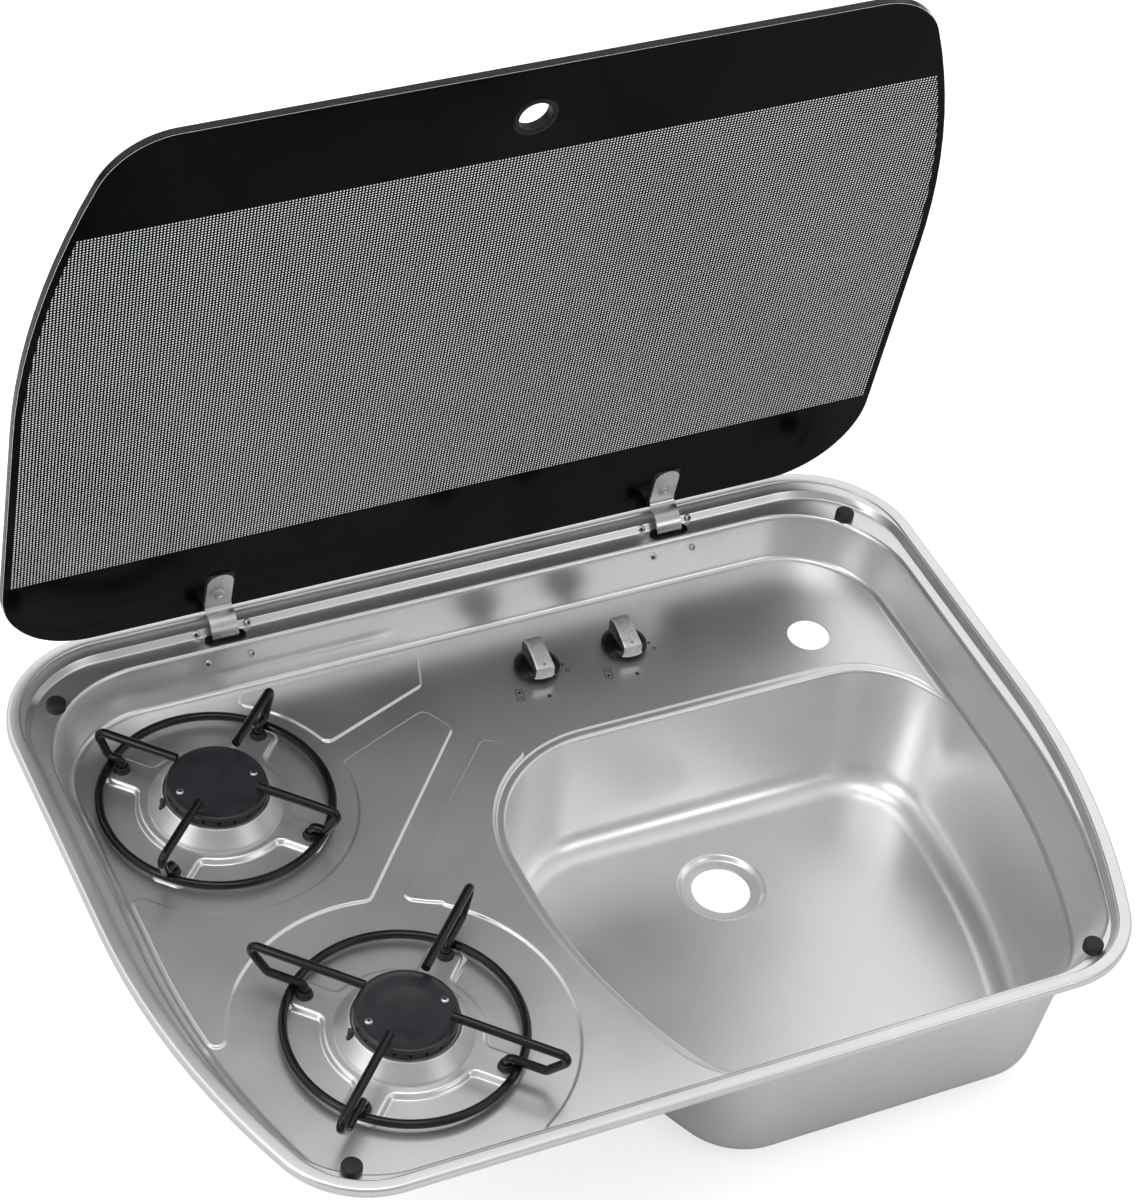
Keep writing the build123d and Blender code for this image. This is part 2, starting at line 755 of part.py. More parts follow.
half = STRAP_THICKNESS / 2
strap_mid = strap_z + half - hinge_z
bend_y = -GOOSENECK_RADIUS - strap_mid
leg_turn = 180 + GOOSENECK_SWEEP
leg_dir = (cos(radians(leg_turn)), sin(radians(leg_turn)))

for name, hinge_x in (("left", -HINGE_X), ("right", HINGE_X)):
    start_x = hinge_x - STRAP_WIDTH / 2
    flat_end = strap_end_y - hinge_y
    with BuildPart() as strap:
        with BuildSketch(Plane((start_x, hinge_y, hinge_z), (0, 1, 0), (1, 0, 0))):
            with BuildLine():
                Line((flat_end, strap_mid + half), (bend_y, strap_mid + half))
                CenterArc((bend_y, 0), strap_mid + half, 90, -90)
                CenterArc((0, 0), GOOSENECK_RADIUS - half, 180, GOOSENECK_SWEEP)
                near, far = GOOSENECK_RADIUS - half, GOOSENECK_RADIUS + half
                Line(
                    (near * leg_dir[0], near * leg_dir[1]),
                    (far * leg_dir[0], far * leg_dir[1]),
                )
                CenterArc((0, 0), GOOSENECK_RADIUS + half, leg_turn, -GOOSENECK_SWEEP)
                CenterArc((bend_y, 0), strap_mid - half, 0, 90)
                Line((bend_y, strap_mid - half), (flat_end, strap_mid - half))
                Line((flat_end, strap_mid - half), (flat_end, strap_mid + half))
            make_face()
            leg_mid = (GOOSENECK_RADIUS + half + PIN_RADIUS) / 2
            with Locations(Location((leg_mid * leg_dir[0], leg_mid * leg_dir[1]), leg_turn)):
                Rectangle(GOOSENECK_RADIUS + half - PIN_RADIUS, STRAP_THICKNESS)
            Circle(EYE_RADIUS)
            Circle(PIN_RADIUS + RUNNING_GAP, mode=Mode.SUBTRACT)
        extrude(amount=STRAP_WIDTH)
        corners = strap.edges().filter_by(Axis.Z).sort_by(Axis.Y)[:2]
        fillet(corners, STRAP_WIDTH / 2 - 0.3)
        with Locations((hinge_x, strap_screw_y, strap_z)):
            Cylinder(STRAP_BOLT_RADIUS, 8, mode=Mode.SUBTRACT)
    opened(f"hinge_strap_{name}", strap.part)

with BuildPart() as strap_pads:
    for hinge_x in (-HINGE_X, HINGE_X):
        with BuildSketch(Plane.XY.offset(glass_z - PAD_THICKNESS)):
            with Locations((hinge_x, (strap_end_y + lid_edge.back) / 2)):
                RectangleRounded(STRAP_WIDTH + 1.6, STRAP_REACH - 1.0, 3.0)
            with Locations((hinge_x, strap_screw_y)):
                Circle(STRAP_BOLT_RADIUS, mode=Mode.SUBTRACT)
        extrude(amount=PAD_THICKNESS)

opened("strap_pads", strap_pads.part)

with BuildPart() as strap_bolts:
    glass_top = glass_z + LID_THICKNESS
    for hinge_x in (-HINGE_X, HINGE_X):
        add(upright(hinge_x, strap_screw_y, strap_z, BOLT_HEAD_RADIUS, BOLT_HEAD_HEIGHT))
        add(upright(hinge_x, strap_screw_y, glass_top, STRAP_BOLT_RADIUS, glass_top - strap_z))
        cap_top = glass_top + BOLT_CAP_HEIGHT
        add(upright(hinge_x, strap_screw_y, cap_top, BOLT_CAP_RADIUS, BOLT_CAP_HEIGHT))

opened("strap_bolts", strap_bolts.part)

# ---------------------------------------------------------------- burners

collar_z = platform_z
collar_top = collar_z + COLLAR_HEIGHT
flange_top = platform_z - SHEET
flange_z = flange_top - BODY_SHEET
cup_floor = flange_z - CUP_DEPTH
head_z = collar_top - 1.0
cap_z = head_z + HEAD_HEIGHT
tube_z = cup_floor + TUBE_RADIUS + 1.0
tube_dirs = {"rear": (1, 0, 0), "front": (0, 1, 0)}

with BuildPart() as burner_bodies:
    for name, centre in BURNERS.items():
        add(
            turned(
                centre,
                [
                    (0, cup_floor),
                    (CUP_RADIUS, cup_floor),
                    (CUP_RADIUS, flange_z),
                    (BODY_FLANGE_RADIUS, flange_z),
                    (BODY_FLANGE_RADIUS, flange_top),
                    (CUP_RADIUS, flange_top),
                    (CUP_RADIUS, head_z),
                    (CUP_RADIUS - BODY_SHEET, head_z),
                    (CUP_RADIUS - BODY_SHEET, cup_floor + BODY_SHEET),
                    (0, cup_floor + BODY_SHEET),
                ],
            )
        )
        mouth = Plane((*centre, tube_z), z_dir=tube_dirs[name])
        low = (Align.CENTER, Align.CENTER, Align.MIN)
        start = CUP_RADIUS - 1.5 * BODY_SHEET
        with Locations(mouth.offset(CUP_RADIUS - BODY_SHEET)):
            Cylinder(TUBE_RADIUS, TUBE_LENGTH + BODY_SHEET, align=low)
        with Locations(mouth.offset(start - 2)):
            Cylinder(TUBE_RADIUS - BODY_SHEET, TUBE_LENGTH + 8, align=low, mode=Mode.SUBTRACT)
        add(
            upright(centre[0] - PROBE_X, centre[1], 0, PROBE_RADIUS, 60),
            mode=Mode.SUBTRACT,
        )

save(burner_bodies, "burner_bodies")

with BuildPart() as burner_collars:
    foot_in = COLLAR_RADIUS - 3.2
    for centre in BURNERS.values():
        add(
            turned(
                centre,
                [
                    (foot_in, collar_z),
                    (COLLAR_RADIUS, collar_z),
                    (COLLAR_RADIUS, collar_z + COLLAR_SHEET),
                    (foot_in + 0.8, collar_z + COLLAR_SHEET + 0.6),
                    (COLLAR_TOP_RADIUS + 1.2, collar_top),
                    (COLLAR_TOP_RADIUS, collar_top),
                    (COLLAR_TOP_RADIUS, collar_top - 1.2),
                    (foot_in - 0.4, collar_z + COLLAR_SHEET),
                ],
            )
        )
        probe = upright(centre[0] - PROBE_X, centre[1], 0, PROBE_RADIUS + 0.3, 60)
        add(probe, mode=Mode.SUBTRACT)

save(burner_collars, "burner_collars")

with BuildPart() as burner_heads:
    for centre in BURNERS.values():
        add(
            turned(
                centre,
                [
                    (HEAD_INNER_RADIUS, head_z),
                    (HEAD_RADIUS, head_z),
                    (HEAD_RADIUS, cap_z),
                    (HEAD_INNER_RADIUS, cap_z),
                ],
            )
        )
        with BuildSketch(Plane((*centre, cap_z))):
            with PolarLocations((HEAD_RADIUS + CAP_SCREW_X + 2.5) / 2, HEAD_SLOTS):
                Rectangle(HEAD_RADIUS - CAP_SCREW_X - 1.5, SLOT_WIDTH)
        extrude(amount=-SLOT_HEIGHT, mode=Mode.SUBTRACT)
        for side in (-1, 1):
            hole = upright(centre[0] + side * CAP_SCREW_X, centre[1], 0, CAP_SCREW_RADIUS, 60)
            add(hole, mode=Mode.SUBTRACT)

save(burner_heads, "burner_heads")

cap_top = cap_z + CAP_THICKNESS
with BuildPart() as burner_caps:
    for centre in BURNERS.values():
        add(
            turned(
                centre,
                [
                    (0, cap_z),
                    (CAP_RADIUS - 1.2, cap_z),
                    (CAP_RADIUS, cap_z + 0.8),
                    (CAP_RADIUS, cap_top),
                    (CAP_RADIUS - 0.9, cap_top + CAP_RIM),
                    (CAP_RADIUS - 2.6, cap_top + CAP_RIM),
                    (CAP_RADIUS - 4.0, cap_top),
                    (0, cap_top),
                ],
            )
        )
        for side in (-1, 1):
            hole = upright(centre[0] + side * CAP_SCREW_X, centre[1], 0, CAP_SCREW_RADIUS, 60)
            add(hole, mode=Mode.SUBTRACT)

save(burner_caps, "burner_caps")

with BuildPart() as cap_screws:
    for centre in BURNERS.values():
        for side in (-1, 1):
            x = centre[0] + side * CAP_SCREW_X
            add(upright(x, centre[1], cap_top + 1.2, 2.4, 1.2))
            add(upright(x, centre[1], cap_top, CAP_SCREW_RADIUS, cap_top - head_z))

save(cap_screws, "cap_screws")

with BuildPart() as thermocouples:
    for centre in BURNERS.values():
        top = cap_z
        add(upright(centre[0] - PROBE_X, centre[1], top, PROBE_RADIUS, top - PROBE_END))

save(thermocouples, "thermocouples")

# ---------------------------------------------------------------- pan supports


def eased(points, radius):
    """The points of a run, with each corner made two short runs along its bend."""
    run = [Vector(*points[0])]
    for before, corner, after in zip(points, points[1:], points[2:]):
        corner = Vector(*corner)
        back, ahead = [(Vector(*end) - corner).normalized() for end in (before, after)]
        half_angle = radians(back.get_angle(ahead)) / 2
        middle = corner + (back + ahead).normalized() * (radius / sin(half_angle) - radius)
        cut = radius / tan(half_angle)
        run += [corner + back * cut, middle, corner + ahead * cut]
    return [tuple(point) for point in run + [Vector(*points[-1])]]


def eight_sided(radius):
    """A wire's section, drawn with eight flats."""
    return RegularPolygon(radius, 8, major_radius=False, rotation=22.5)


for name, centre in BURNERS.items():
    x, y = centre
    reach = ARM_REACH[name]
    crossing = ring_z + 2 * WIRE_RADIUS - 0.1
    if name == "rear":
        shoulder = RING_RADIUS + 1.7
    else:
        shoulder = RING_RADIUS + 15.7
    path = [
        (FOOT_CIRCLE_RADIUS, FOOT_END),
        (FOOT_CIRCLE_RADIUS, crossing),
        (shoulder, crossing),
        (reach, bar_z),
        (BAR_INNER_RADIUS, bar_z),
    ]
    with BuildPart() as support:
        with BuildSketch(Plane((x, y, 0), (1, 0, 0), (0, -1, 0))):
            with Locations((RING_RADIUS, ring_z)):
                eight_sided(WIRE_RADIUS)
        revolve(axis=Axis((x, y, 0), (0, 0, 1)))
        for turn in (45, 135, 225, 315):
            out = (cos(radians(turn)), sin(radians(turn)))
            with BuildLine() as wire:
                places = [(x + r * out[0], y + r * out[1], z) for r, z in path]
                Polyline(*eased(places, WIRE_BEND))
            across = (-out[1], out[0], 0)
            with BuildSketch(Plane(places[0], across, (0, 0, 1))):
                eight_sided(WIRE_RADIUS)
            sweep(path=wire.wire(), transition=Transition.RIGHT)
    save(support, f"pan_support_{name}")

with BuildPart() as foot_grommets:
    grommet_low = flange_top - 2.5
    ball_top = platform_z + GROMMET_BALL_HEIGHT
    head_top = platform_z + GROMMET_HEAD_HEIGHT
    for x, y in feet["rear"] + feet["front"]:
        add(prism(x, y, ball_top, FOOT_NECK_RADIUS, ball_top - grommet_low, GROMMET_SIDES))
        flange_radius = FOOT_NECK_RADIUS + 0.8
        add(prism(x, y, flange_top, flange_radius, flange_top - grommet_low, GROMMET_SIDES))
        add(prism(x, y, head_top, GROMMET_HEAD_RADIUS, head_top - platform_z, GROMMET_SIDES))
        add(prism(x, y, ball_top, GROMMET_BALL_RADIUS, ball_top - head_top, GROMMET_SIDES))
    for x, y in feet["rear"] + feet["front"]:
        add(upright(x, y, ball_top, WIRE_SOCKET_RADIUS, 20), mode=Mode.SUBTRACT)

save(foot_grommets, "foot_grommets")

# ---------------------------------------------------------------- knobs and valves

deck_low = deck_z - SHEET
skirt_z = deck_z + KNOB_LIFT
skirt_top = skirt_z + KNOB_SKIRT_HEIGHT
valve_floor = deck_low - VALVE_LENGTH
neck_top = skirt_z - SPRING_CUP_TRAVEL - 0.5
cup_z = neck_top - SPRING_CUP_TRAVEL - 2.0
valve_ports = {"left": (-1, 0, 0), "right": (0, -1, 0)}
port_z = {"left": tube_z, "right": FRONT_PIPE_Z}

for name, x in KNOB_X.items():
    with BuildPart() as valve:
        add(upright(x, KNOB_Y, deck_low, VALVE_RADIUS, VALVE_LENGTH))
        add(upright(x, KNOB_Y, neck_top, VALVE_NECK_RADIUS, neck_top - deck_low))
        with Locations(Plane((x, KNOB_Y, port_z[name]), z_dir=valve_ports[name])):
            Cylinder(PORT_RADIUS, PORT_REACH, align=(Align.CENTER, Align.CENTER, Align.MIN))
        bore = upright(x, KNOB_Y, neck_top, SPINDLE_RADIUS + RUNNING_GAP, neck_top - SPINDLE_END)
        add(bore, mode=Mode.SUBTRACT)
        cup_bore = upright(x, KNOB_Y, neck_top, SPRING_CUP_RADIUS + 0.1, neck_top - cup_z)
        add(cup_bore, mode=Mode.SUBTRACT)
    save(valve, f"gas_valve_{name}")

    with BuildPart() as spring_cup:
        add(upright(x, KNOB_Y, skirt_z - 0.1, SPRING_CUP_RADIUS, SPRING_CUP_HEIGHT))
        hole = upright(x, KNOB_Y, skirt_z, SPINDLE_RADIUS + RUNNING_GAP, 20)
        add(hole, mode=Mode.SUBTRACT)
    save(spring_cup, f"spring_cup_{name}")

    with BuildPart() as spindle:
        low_end = SPINDLE_END + SPRING_CUP_TRAVEL + 0.5
        add(upright(x, KNOB_Y, skirt_top, SPINDLE_RADIUS, skirt_top - low_end))
    save(spindle, f"spindle_{name}")

    with BuildPart() as skirt:
        add(
            turned(
                (x, KNOB_Y),
                [
                    (SPINDLE_RADIUS, skirt_z),
                    (KNOB_RADIUS, skirt_z),
                    (KNOB_RADIUS, skirt_z + 1.6),
                    (KNOB_RADIUS - 1.6, skirt_top),
                    (SPINDLE_RADIUS, skirt_top),
                ],
            )
        )
    save(skirt, f"knob_skirt_{name}")

    with BuildPart() as grip:
        grip_top = deck_z + KNOB_HEIGHT
        back = sqrt((KNOB_RADIUS - 1.6) ** 2 - (KNOB_GRIP_WIDTH / 2) ** 2)
        with BuildSketch(Plane((x - KNOB_GRIP_WIDTH / 2, KNOB_Y, 0), (0, 1, 0), (1, 0, 0))):
            with BuildLine():
                Polyline(
                    (-back, skirt_top),
                    (back, skirt_top),
                    (back - 0.4, grip_top - 1.0),
                    (back - 1.4, grip_top),
                    (back - 3.4, grip_top),
                    (-back + 3.6, grip_top - 5.0),
                    (-back + 1.6, grip_top - 6.4),
                    close=True,
                )
            make_face()
        extrude(amount=KNOB_GRIP_WIDTH)
        sides = grip.edges().filter_by(Axis.Z, reverse=True).filter_by(Axis.X, reverse=True)
        high = sides.filter_by_position(Axis.Z, skirt_top + 3, grip_top + 1)
        chamfer(high, 0.8)
    save(grip, f"knob_grip_{name}")

with BuildPart() as manifold:
    half_bar = MANIFOLD_WIDTH / 2
    add(
        block(
            (MANIFOLD_LEFT, MANIFOLD_RIGHT),
            (KNOB_Y - half_bar, KNOB_Y + half_bar),
            (valve_floor - MANIFOLD_WIDTH, valve_floor),
        )
    )

save(manifold, "manifold")

# ---------------------------------------------------------------- pipes and jets


def pipe(points, radius, bend):
    """A round pipe bent through a run of points."""
    with BuildPart() as run:
        with BuildLine() as line:
            FilletPolyline(*points, radius=bend)
        first, second = Vector(*points[0]), Vector(*points[1])
        with BuildSketch(Plane(points[0], z_dir=tuple(second - first))):
            RegularPolygon(radius, PIPE_SIDES)
        sweep(path=line.wire())
    return run


rear_x, rear_y = BURNERS["rear"]
front_x, front_y = BURNERS["front"]
rear_jet = rear_x + CUP_RADIUS + TUBE_LENGTH + JET_GAP
front_jet = front_y + CUP_RADIUS + TUBE_LENGTH + JET_GAP

with BuildPart() as jets:
    low = (Align.CENTER, Align.CENTER, Align.MIN)
    with Locations(Plane((rear_jet, rear_y, tube_z), z_dir=(1, 0, 0))):
        Cylinder(JET_RADIUS, JET_LENGTH, align=low)
    with Locations(Plane((front_x, front_jet, tube_z), z_dir=(0, 1, 0))):
        Cylinder(JET_RADIUS, JET_LENGTH, align=low)

save(jets, "gas_jets")

left_x, right_x = KNOB_X["left"], KNOB_X["right"]
rear_pipe = pipe(
    [
        (left_x - PORT_REACH, KNOB_Y, tube_z),
        (PIPE_TURN_X, KNOB_Y, tube_z),
        (PIPE_TURN_X, rear_y, tube_z),
        (rear_jet + JET_LENGTH, rear_y, tube_z),
    ],
    PIPE_RADIUS,
    8.0,
)
save(rear_pipe, "gas_pipe_rear")

front_pipe = pipe(
    [
        (right_x, KNOB_Y - PORT_REACH, FRONT_PIPE_Z),
        (right_x, FRONT_PIPE_Y, FRONT_PIPE_Z),
        (FRONT_PIPE_X, FRONT_PIPE_Y, FRONT_PIPE_Z),
        (FRONT_PIPE_X, 30.0, FRONT_PIPE_Z),
        (front_x, 30.0, FRONT_PIPE_Z),
        (front_x, 30.0, tube_z),
        (front_x, front_jet + JET_LENGTH, tube_z),
    ],
    PIPE_RADIUS,
    5.5,
)
save(front_pipe, "gas_pipe_front")

inlet_z = valve_floor - MANIFOLD_WIDTH / 2
with BuildPart() as inlet:
    with BuildLine() as run:
        FilletPolyline(
            (MANIFOLD_LEFT, KNOB_Y, inlet_z),
            (INLET_X, KNOB_Y, inlet_z),
            (INLET_X, KNOB_Y, INLET_END),
            radius=12.0,
        )
    with BuildSketch(Plane((MANIFOLD_LEFT, KNOB_Y, inlet_z), z_dir=(-1, 0, 0))):
        Circle(INLET_RADIUS)
    sweep(path=run.wire())

save(inlet, "gas_inlet_pipe")
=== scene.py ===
"""Built-in sink and two-burner gas hob with a hinged glass lid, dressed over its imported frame."""

from math import atan2, cos, exp, pi, radians, sin, sqrt, tan

import bmesh
import bpy
from mathutils import Matrix, Vector


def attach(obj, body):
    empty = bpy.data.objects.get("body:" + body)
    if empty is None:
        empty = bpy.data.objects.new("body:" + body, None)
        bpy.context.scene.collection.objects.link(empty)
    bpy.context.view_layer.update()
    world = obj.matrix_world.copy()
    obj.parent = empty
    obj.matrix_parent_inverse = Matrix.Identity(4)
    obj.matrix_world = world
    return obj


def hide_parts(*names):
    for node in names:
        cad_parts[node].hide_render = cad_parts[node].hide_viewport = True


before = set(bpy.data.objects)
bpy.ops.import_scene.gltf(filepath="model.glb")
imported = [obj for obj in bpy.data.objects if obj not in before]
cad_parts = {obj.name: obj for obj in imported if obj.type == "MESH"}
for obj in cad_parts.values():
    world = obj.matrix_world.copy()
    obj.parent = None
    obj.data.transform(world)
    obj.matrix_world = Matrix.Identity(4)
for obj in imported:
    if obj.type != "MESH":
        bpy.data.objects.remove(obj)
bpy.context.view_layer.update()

# ------------------------------------------------------------------ camera
# A long lens looks down over the tray's front left corner, with the camera held a little
# askew, so that the tray's back edge climbs to the right of the picture.

turn, height, roll = radians(-30.04), radians(43.09), radians(7.87)
back = Vector((sin(turn) * cos(height), -cos(turn) * cos(height), sin(height)))
level = (-back).cross(Vector((0, 0, 1))).normalized()
upright = level.cross(-back)
right = cos(roll) * level + sin(roll) * upright
up = cos(roll) * upright - sin(roll) * level
camera_data = bpy.data.cameras.new("camera")
camera_data.sensor_width = 36.0
camera_data.lens = 108.708
camera = bpy.data.objects.new("camera", camera_data)
bpy.context.collection.objects.link(camera)
camera.matrix_world = Matrix.Translation((-0.7591, -1.2599, 1.5363)) @ Matrix(
    (
        (right.x, up.x, back.x, 0),
        (right.y, up.y, back.y, 0),
        (right.z, up.z, back.z, 0),
        (0, 0, 0, 1),
    )
)
bpy.context.scene.camera = camera
bpy.context.scene.view_settings.view_transform = "Standard"

# ------------------------------------------------------------------ studio
# A white floor and white surroundings, one wide soft lamp overhead and two softer ones
# beside it. The floor takes the unit's shadow, and the camera and glass see the same white;
# steel sees a grey sky that whitens upwards and dims towards the front.


def linked(tree, kind, settings=(), inputs=()):
    """A new node with its settings, its plain inputs and its links."""
    node = tree.nodes.new(kind)
    for name, value in dict(settings).items():
        setattr(node, name, value)
    for name, value in dict(inputs).items():
        if isinstance(value, bpy.types.NodeSocket):
            tree.links.new(value, node.inputs[name])
        else:
            node.inputs[name].default_value = value
    return node


def reckoned(tree, operation, *values):
    """The result of a Math node on plain values and other nodes' outputs."""
    node = linked(tree, "ShaderNodeMath", {"operation": operation}, dict(enumerate(values)))
    return node.outputs[0]


def seen_plainly(tree):
    """1 on rays from the camera or through glass, 0 on mirrored and scattered ones."""
    ray = linked(tree, "ShaderNodeLightPath").outputs
    return reckoned(tree, "MAXIMUM", ray["Is Camera Ray"], ray["Is Transmission Ray"])


white = (1, 1, 1, 1)
world = bpy.data.worlds.new("studio")
bpy.context.scene.world = world
world.use_nodes = True
tree = world.node_tree
tree.nodes.clear()
place = linked(tree, "ShaderNodeTexCoord").outputs["Generated"]
axes = linked(tree, "ShaderNodeSeparateXYZ", inputs={0: place}).outputs
shade = linked(tree, "ShaderNodeValToRGB", inputs={0: axes["Z"]})
horizon, sky = shade.color_ramp.elements
horizon.position, horizon.color = 0.06, (0.3, 0.3, 0.31, 1)
sky.position, sky.color = 0.42, white
fade = linked(
    tree,
    "ShaderNodeMapRange",
    inputs={
        "Value": axes["Y"],
        "From Min": -0.75,
        "From Max": 0.15,
        "To Min": 0.4,
        "To Max": 1.0,
    },
).outputs[0]
dimmed = linked(
    tree,
    "ShaderNodeMix",
    {"data_type": "RGBA"},
    {0: fade, 6: (0, 0, 0, 1), 7: shade.outputs[0]},
).outputs[2]
soft = linked(tree, "ShaderNodeBackground", inputs={"Color": dimmed}).outputs[0]
plain = linked(tree, "ShaderNodeBackground", inputs={"Color": white}).outputs[0]
choice = linked(tree, "ShaderNodeMixShader", inputs={0: seen_plainly(tree), 1: soft, 2: plain})
linked(tree, "ShaderNodeOutputWorld", inputs={0: choice.outputs[0]})


def softbox(name, spot, size, power):
    """An oblong soft lamp at a spot, turned to face the unit."""
    data = bpy.data.lights.new(name, "AREA")
    data.shape = "RECTANGLE"
    data.size, data.size_y = size
    data.energy = power
    lamp = bpy.data.objects.new(name, data)
    bpy.context.collection.objects.link(lamp)
    lamp.location = spot
    lamp.rotation_euler = (-Vector(spot)).to_track_quat("-Z", "Y").to_euler()


softbox("lamp_over", (-0.2, -0.1, 1.6), (0.9, 0.35), 3.6)
softbox("lamp_left", (-1.5, -0.3, 1.0), (0.35, 0.9), 4.2)
softbox("lamp_front", (0.9, -1.5, 0.9), (0.7, 0.35), 2.4)

ground = -0.1245
floor_mesh = bpy.data.meshes.new("floor")
corners = ((-6, -6), (6, -6), (6, 6), (-6, 6))
floor_mesh.from_pydata([(x, y, ground) for x, y in corners], [], [(0, 1, 2, 3)])
floor = bpy.data.objects.new("floor", floor_mesh)
bpy.context.collection.objects.link(floor)
paper = bpy.data.materials.new("white_paper")
paper.use_nodes = True
tree = paper.node_tree
tree.nodes.clear()
matt = linked(tree, "ShaderNodeBsdfDiffuse", inputs={"Color": (0.8, 0.8, 0.8, 1)}).outputs[0]
lift = reckoned(tree, "MULTIPLY", seen_plainly(tree), 0.62)
glow = linked(tree, "ShaderNodeEmission", inputs={"Color": white, "Strength": lift}).outputs[0]
both = linked(tree, "ShaderNodeAddShader", inputs={0: matt, 1: glow}).outputs[0]
linked(tree, "ShaderNodeOutputMaterial", inputs={0: both})
floor_mesh.materials.append(paper)

# ------------------------------------------------------------------ tray
# One pressing of satin stainless sheet, 0.8 mm thick: a raised rim, a shelf and step, a
# ledge for the lid, a well with three embossed panels and two raised stars, and the bowl.

mm = 0.001


def even(x, back_radius, bow_start, bow_radius, front_radius, back, front):
    """A plan outline whose sides run straight, then bow in to round front corners."""
    side = (x, back_radius, bow_start, bow_radius, front_radius)
    return side, side, back, front


def grown(outline, amount):
    """The outline moved outwards by the same amount all round."""

    def side(values):
        x, back_radius, bow_start, bow_radius, front_radius = values
        grown_bow = bow_radius + amount
        return x + amount, back_radius + amount, bow_start, grown_bow, front_radius + amount

    return side(outline[0]), side(outline[1]), outline[2] + amount, outline[3] - amount


def between(first, second, share):
    """The outline a share of the way from one outline to another."""

    def mixed(a, b):
        return a + (b - a) * share

    right = tuple(map(mixed, first[0], second[0]))
    left = tuple(map(mixed, first[1], second[1]))
    return right, left, mixed(first[2], second[2]), mixed(first[3], second[3])


def ring_of(outline, height):
    """Points round an outline at one height; every ring has the same number of them."""
    right, left, back, front = outline
    runs = []
    for x, back_radius, bow_start, bow_radius, front_radius in (right, left):
        bow_x = x - bow_radius
        corner_y = front + front_radius
        reach = bow_radius - front_radius
        corner_x = bow_x + sqrt(reach**2 - (corner_y - bow_start) ** 2)
        bend = atan2(bow_start - corner_y, corner_x - bow_x)
        corner_top = back - back_radius
        run = []
        for step in range(20):
            angle = pi / 2 * (1 - step / 20)
            across = x - back_radius + back_radius * cos(angle)
            run.append((across, corner_top + back_radius * sin(angle)))
        for step in range(8):
            run.append((x, corner_top + (bow_start - corner_top) * step / 8))
        for step in range(10):
            angle = -bend * step / 10
            run.append((bow_x + bow_radius * cos(angle), bow_start + bow_radius * sin(angle)))
        for step in range(21):
            angle = -bend - (pi / 2 - bend) * step / 20
            across = corner_x + front_radius * cos(angle)
            run.append((across, corner_y + front_radius * sin(angle)))
        runs.append(run)
    right_run = runs[0]
    left_run = [(-x, y) for x, y in runs[1]]
    first, last = left_run[0][0], right_run[0][0]
    points = [(first + (last - first) * step / 60, back) for step in range(1, 60)]
    points += right_run
    first, last = right_run[-1][0], left_run[-1][0]
    points += [(first + (last - first) * step / 24, front) for step in range(1, 24)]
    points += left_run[::-1]
    return [Vector((x * mm, y * mm, height * mm)) for x, y in points]


def loft(bm, rings, closed=False):
    """Quads between neighbouring rings, and a flat face over each end where it is closed."""
    loops = [[bm.verts.new(point) for point in ring] for ring in rings]
    count = len(loops[0])
    for lower, upper in zip(loops, loops[1:]):
        for i in range(count):
            j = (i + 1) % count
            bm.faces.new((lower[i], lower[j], upper[j], upper[i]))
    if closed:
        return [bm.faces.new(loops[0][::-1]), bm.faces.new(loops[-1])]


def made(name, bm):
    """An object from a closed bmesh, with its faces turned outwards."""
    bmesh.ops.recalc_face_normals(bm, faces=bm.faces)
    mesh = bpy.data.meshes.new(name)
    bm.to_mesh(mesh)
    bm.free()
    thing = bpy.data.objects.new(name, mesh)
    bpy.context.collection.objects.link(thing)
    return thing


def block(name, *lofts):
    """One object of closed solids, each lofted through its own rings."""
    bm = bmesh.new()
    for rings in lofts:
        loft(bm, rings, closed=True)
    return made(name, bm)


def settled(thing):
    """Turn an object's modifiers into its mesh."""
    graph = bpy.context.evaluated_depsgraph_get()
    mesh = bpy.data.meshes.new_from_object(thing.evaluated_get(graph))
    thing.modifiers.clear()
    thing.data = mesh
    return thing


def combined(target, other, operation):
    """Join or cut one solid with another, which is used up."""
    step = target.modifiers.new("join", "BOOLEAN")
    step.object = other
    step.operation = operation
    step.solver = "EXACT"
    settled(target)
    bpy.data.objects.remove(other)
    return target


def smoothed(thing, angle, weighted=True):
    """Smooth shading, with creases where the surface turns sharply."""
    thing.data.polygons.foreach_set("use_smooth", [True] * len(thing.data.polygons))
    thing.data.set_sharp_from_angle(angle=radians(angle))
    if weighted:
        shading = thing.modifiers.new("even_shading", "WEIGHTED_NORMAL")
        shading.keep_sharp = True
    return thing


tray_edge = even(300, 72, 0, 490, 60, 222.5, -223)
shelf_edge = even(292, 64, 0, 482, 52, 214.5, -215.5)
step_top = even(291.5, 63.5, 0, 481.5, 51.5, 205.8, -215.3)
step_foot = even(288.7, 60.7, 0, 478.7, 48.7, 203, -212.5)
ledge_edge = even(281.7, 72, -20, 490, 66, 191.5, -209.5)
ledge_round = grown(ledge_edge, 1.4)
deck_edge = even(269.7, 62, -5, 462, 50, 184, -201.5)
wall_top = between(ledge_edge, deck_edge, 2 / 30)
bowl_edge = ((268.7, 62, -5, 461, 49), (42, 80, -20, 335, 55), 77, -200.5)
lip_edge = ((268.7, 62, -5, 461, 49), (48, 86, -20, 341, 61), 83, -200.5)
wall_top_z, deck_z, floor_z = -2.0, -30.0, -120.0
wall_height = wall_top_z - deck_z

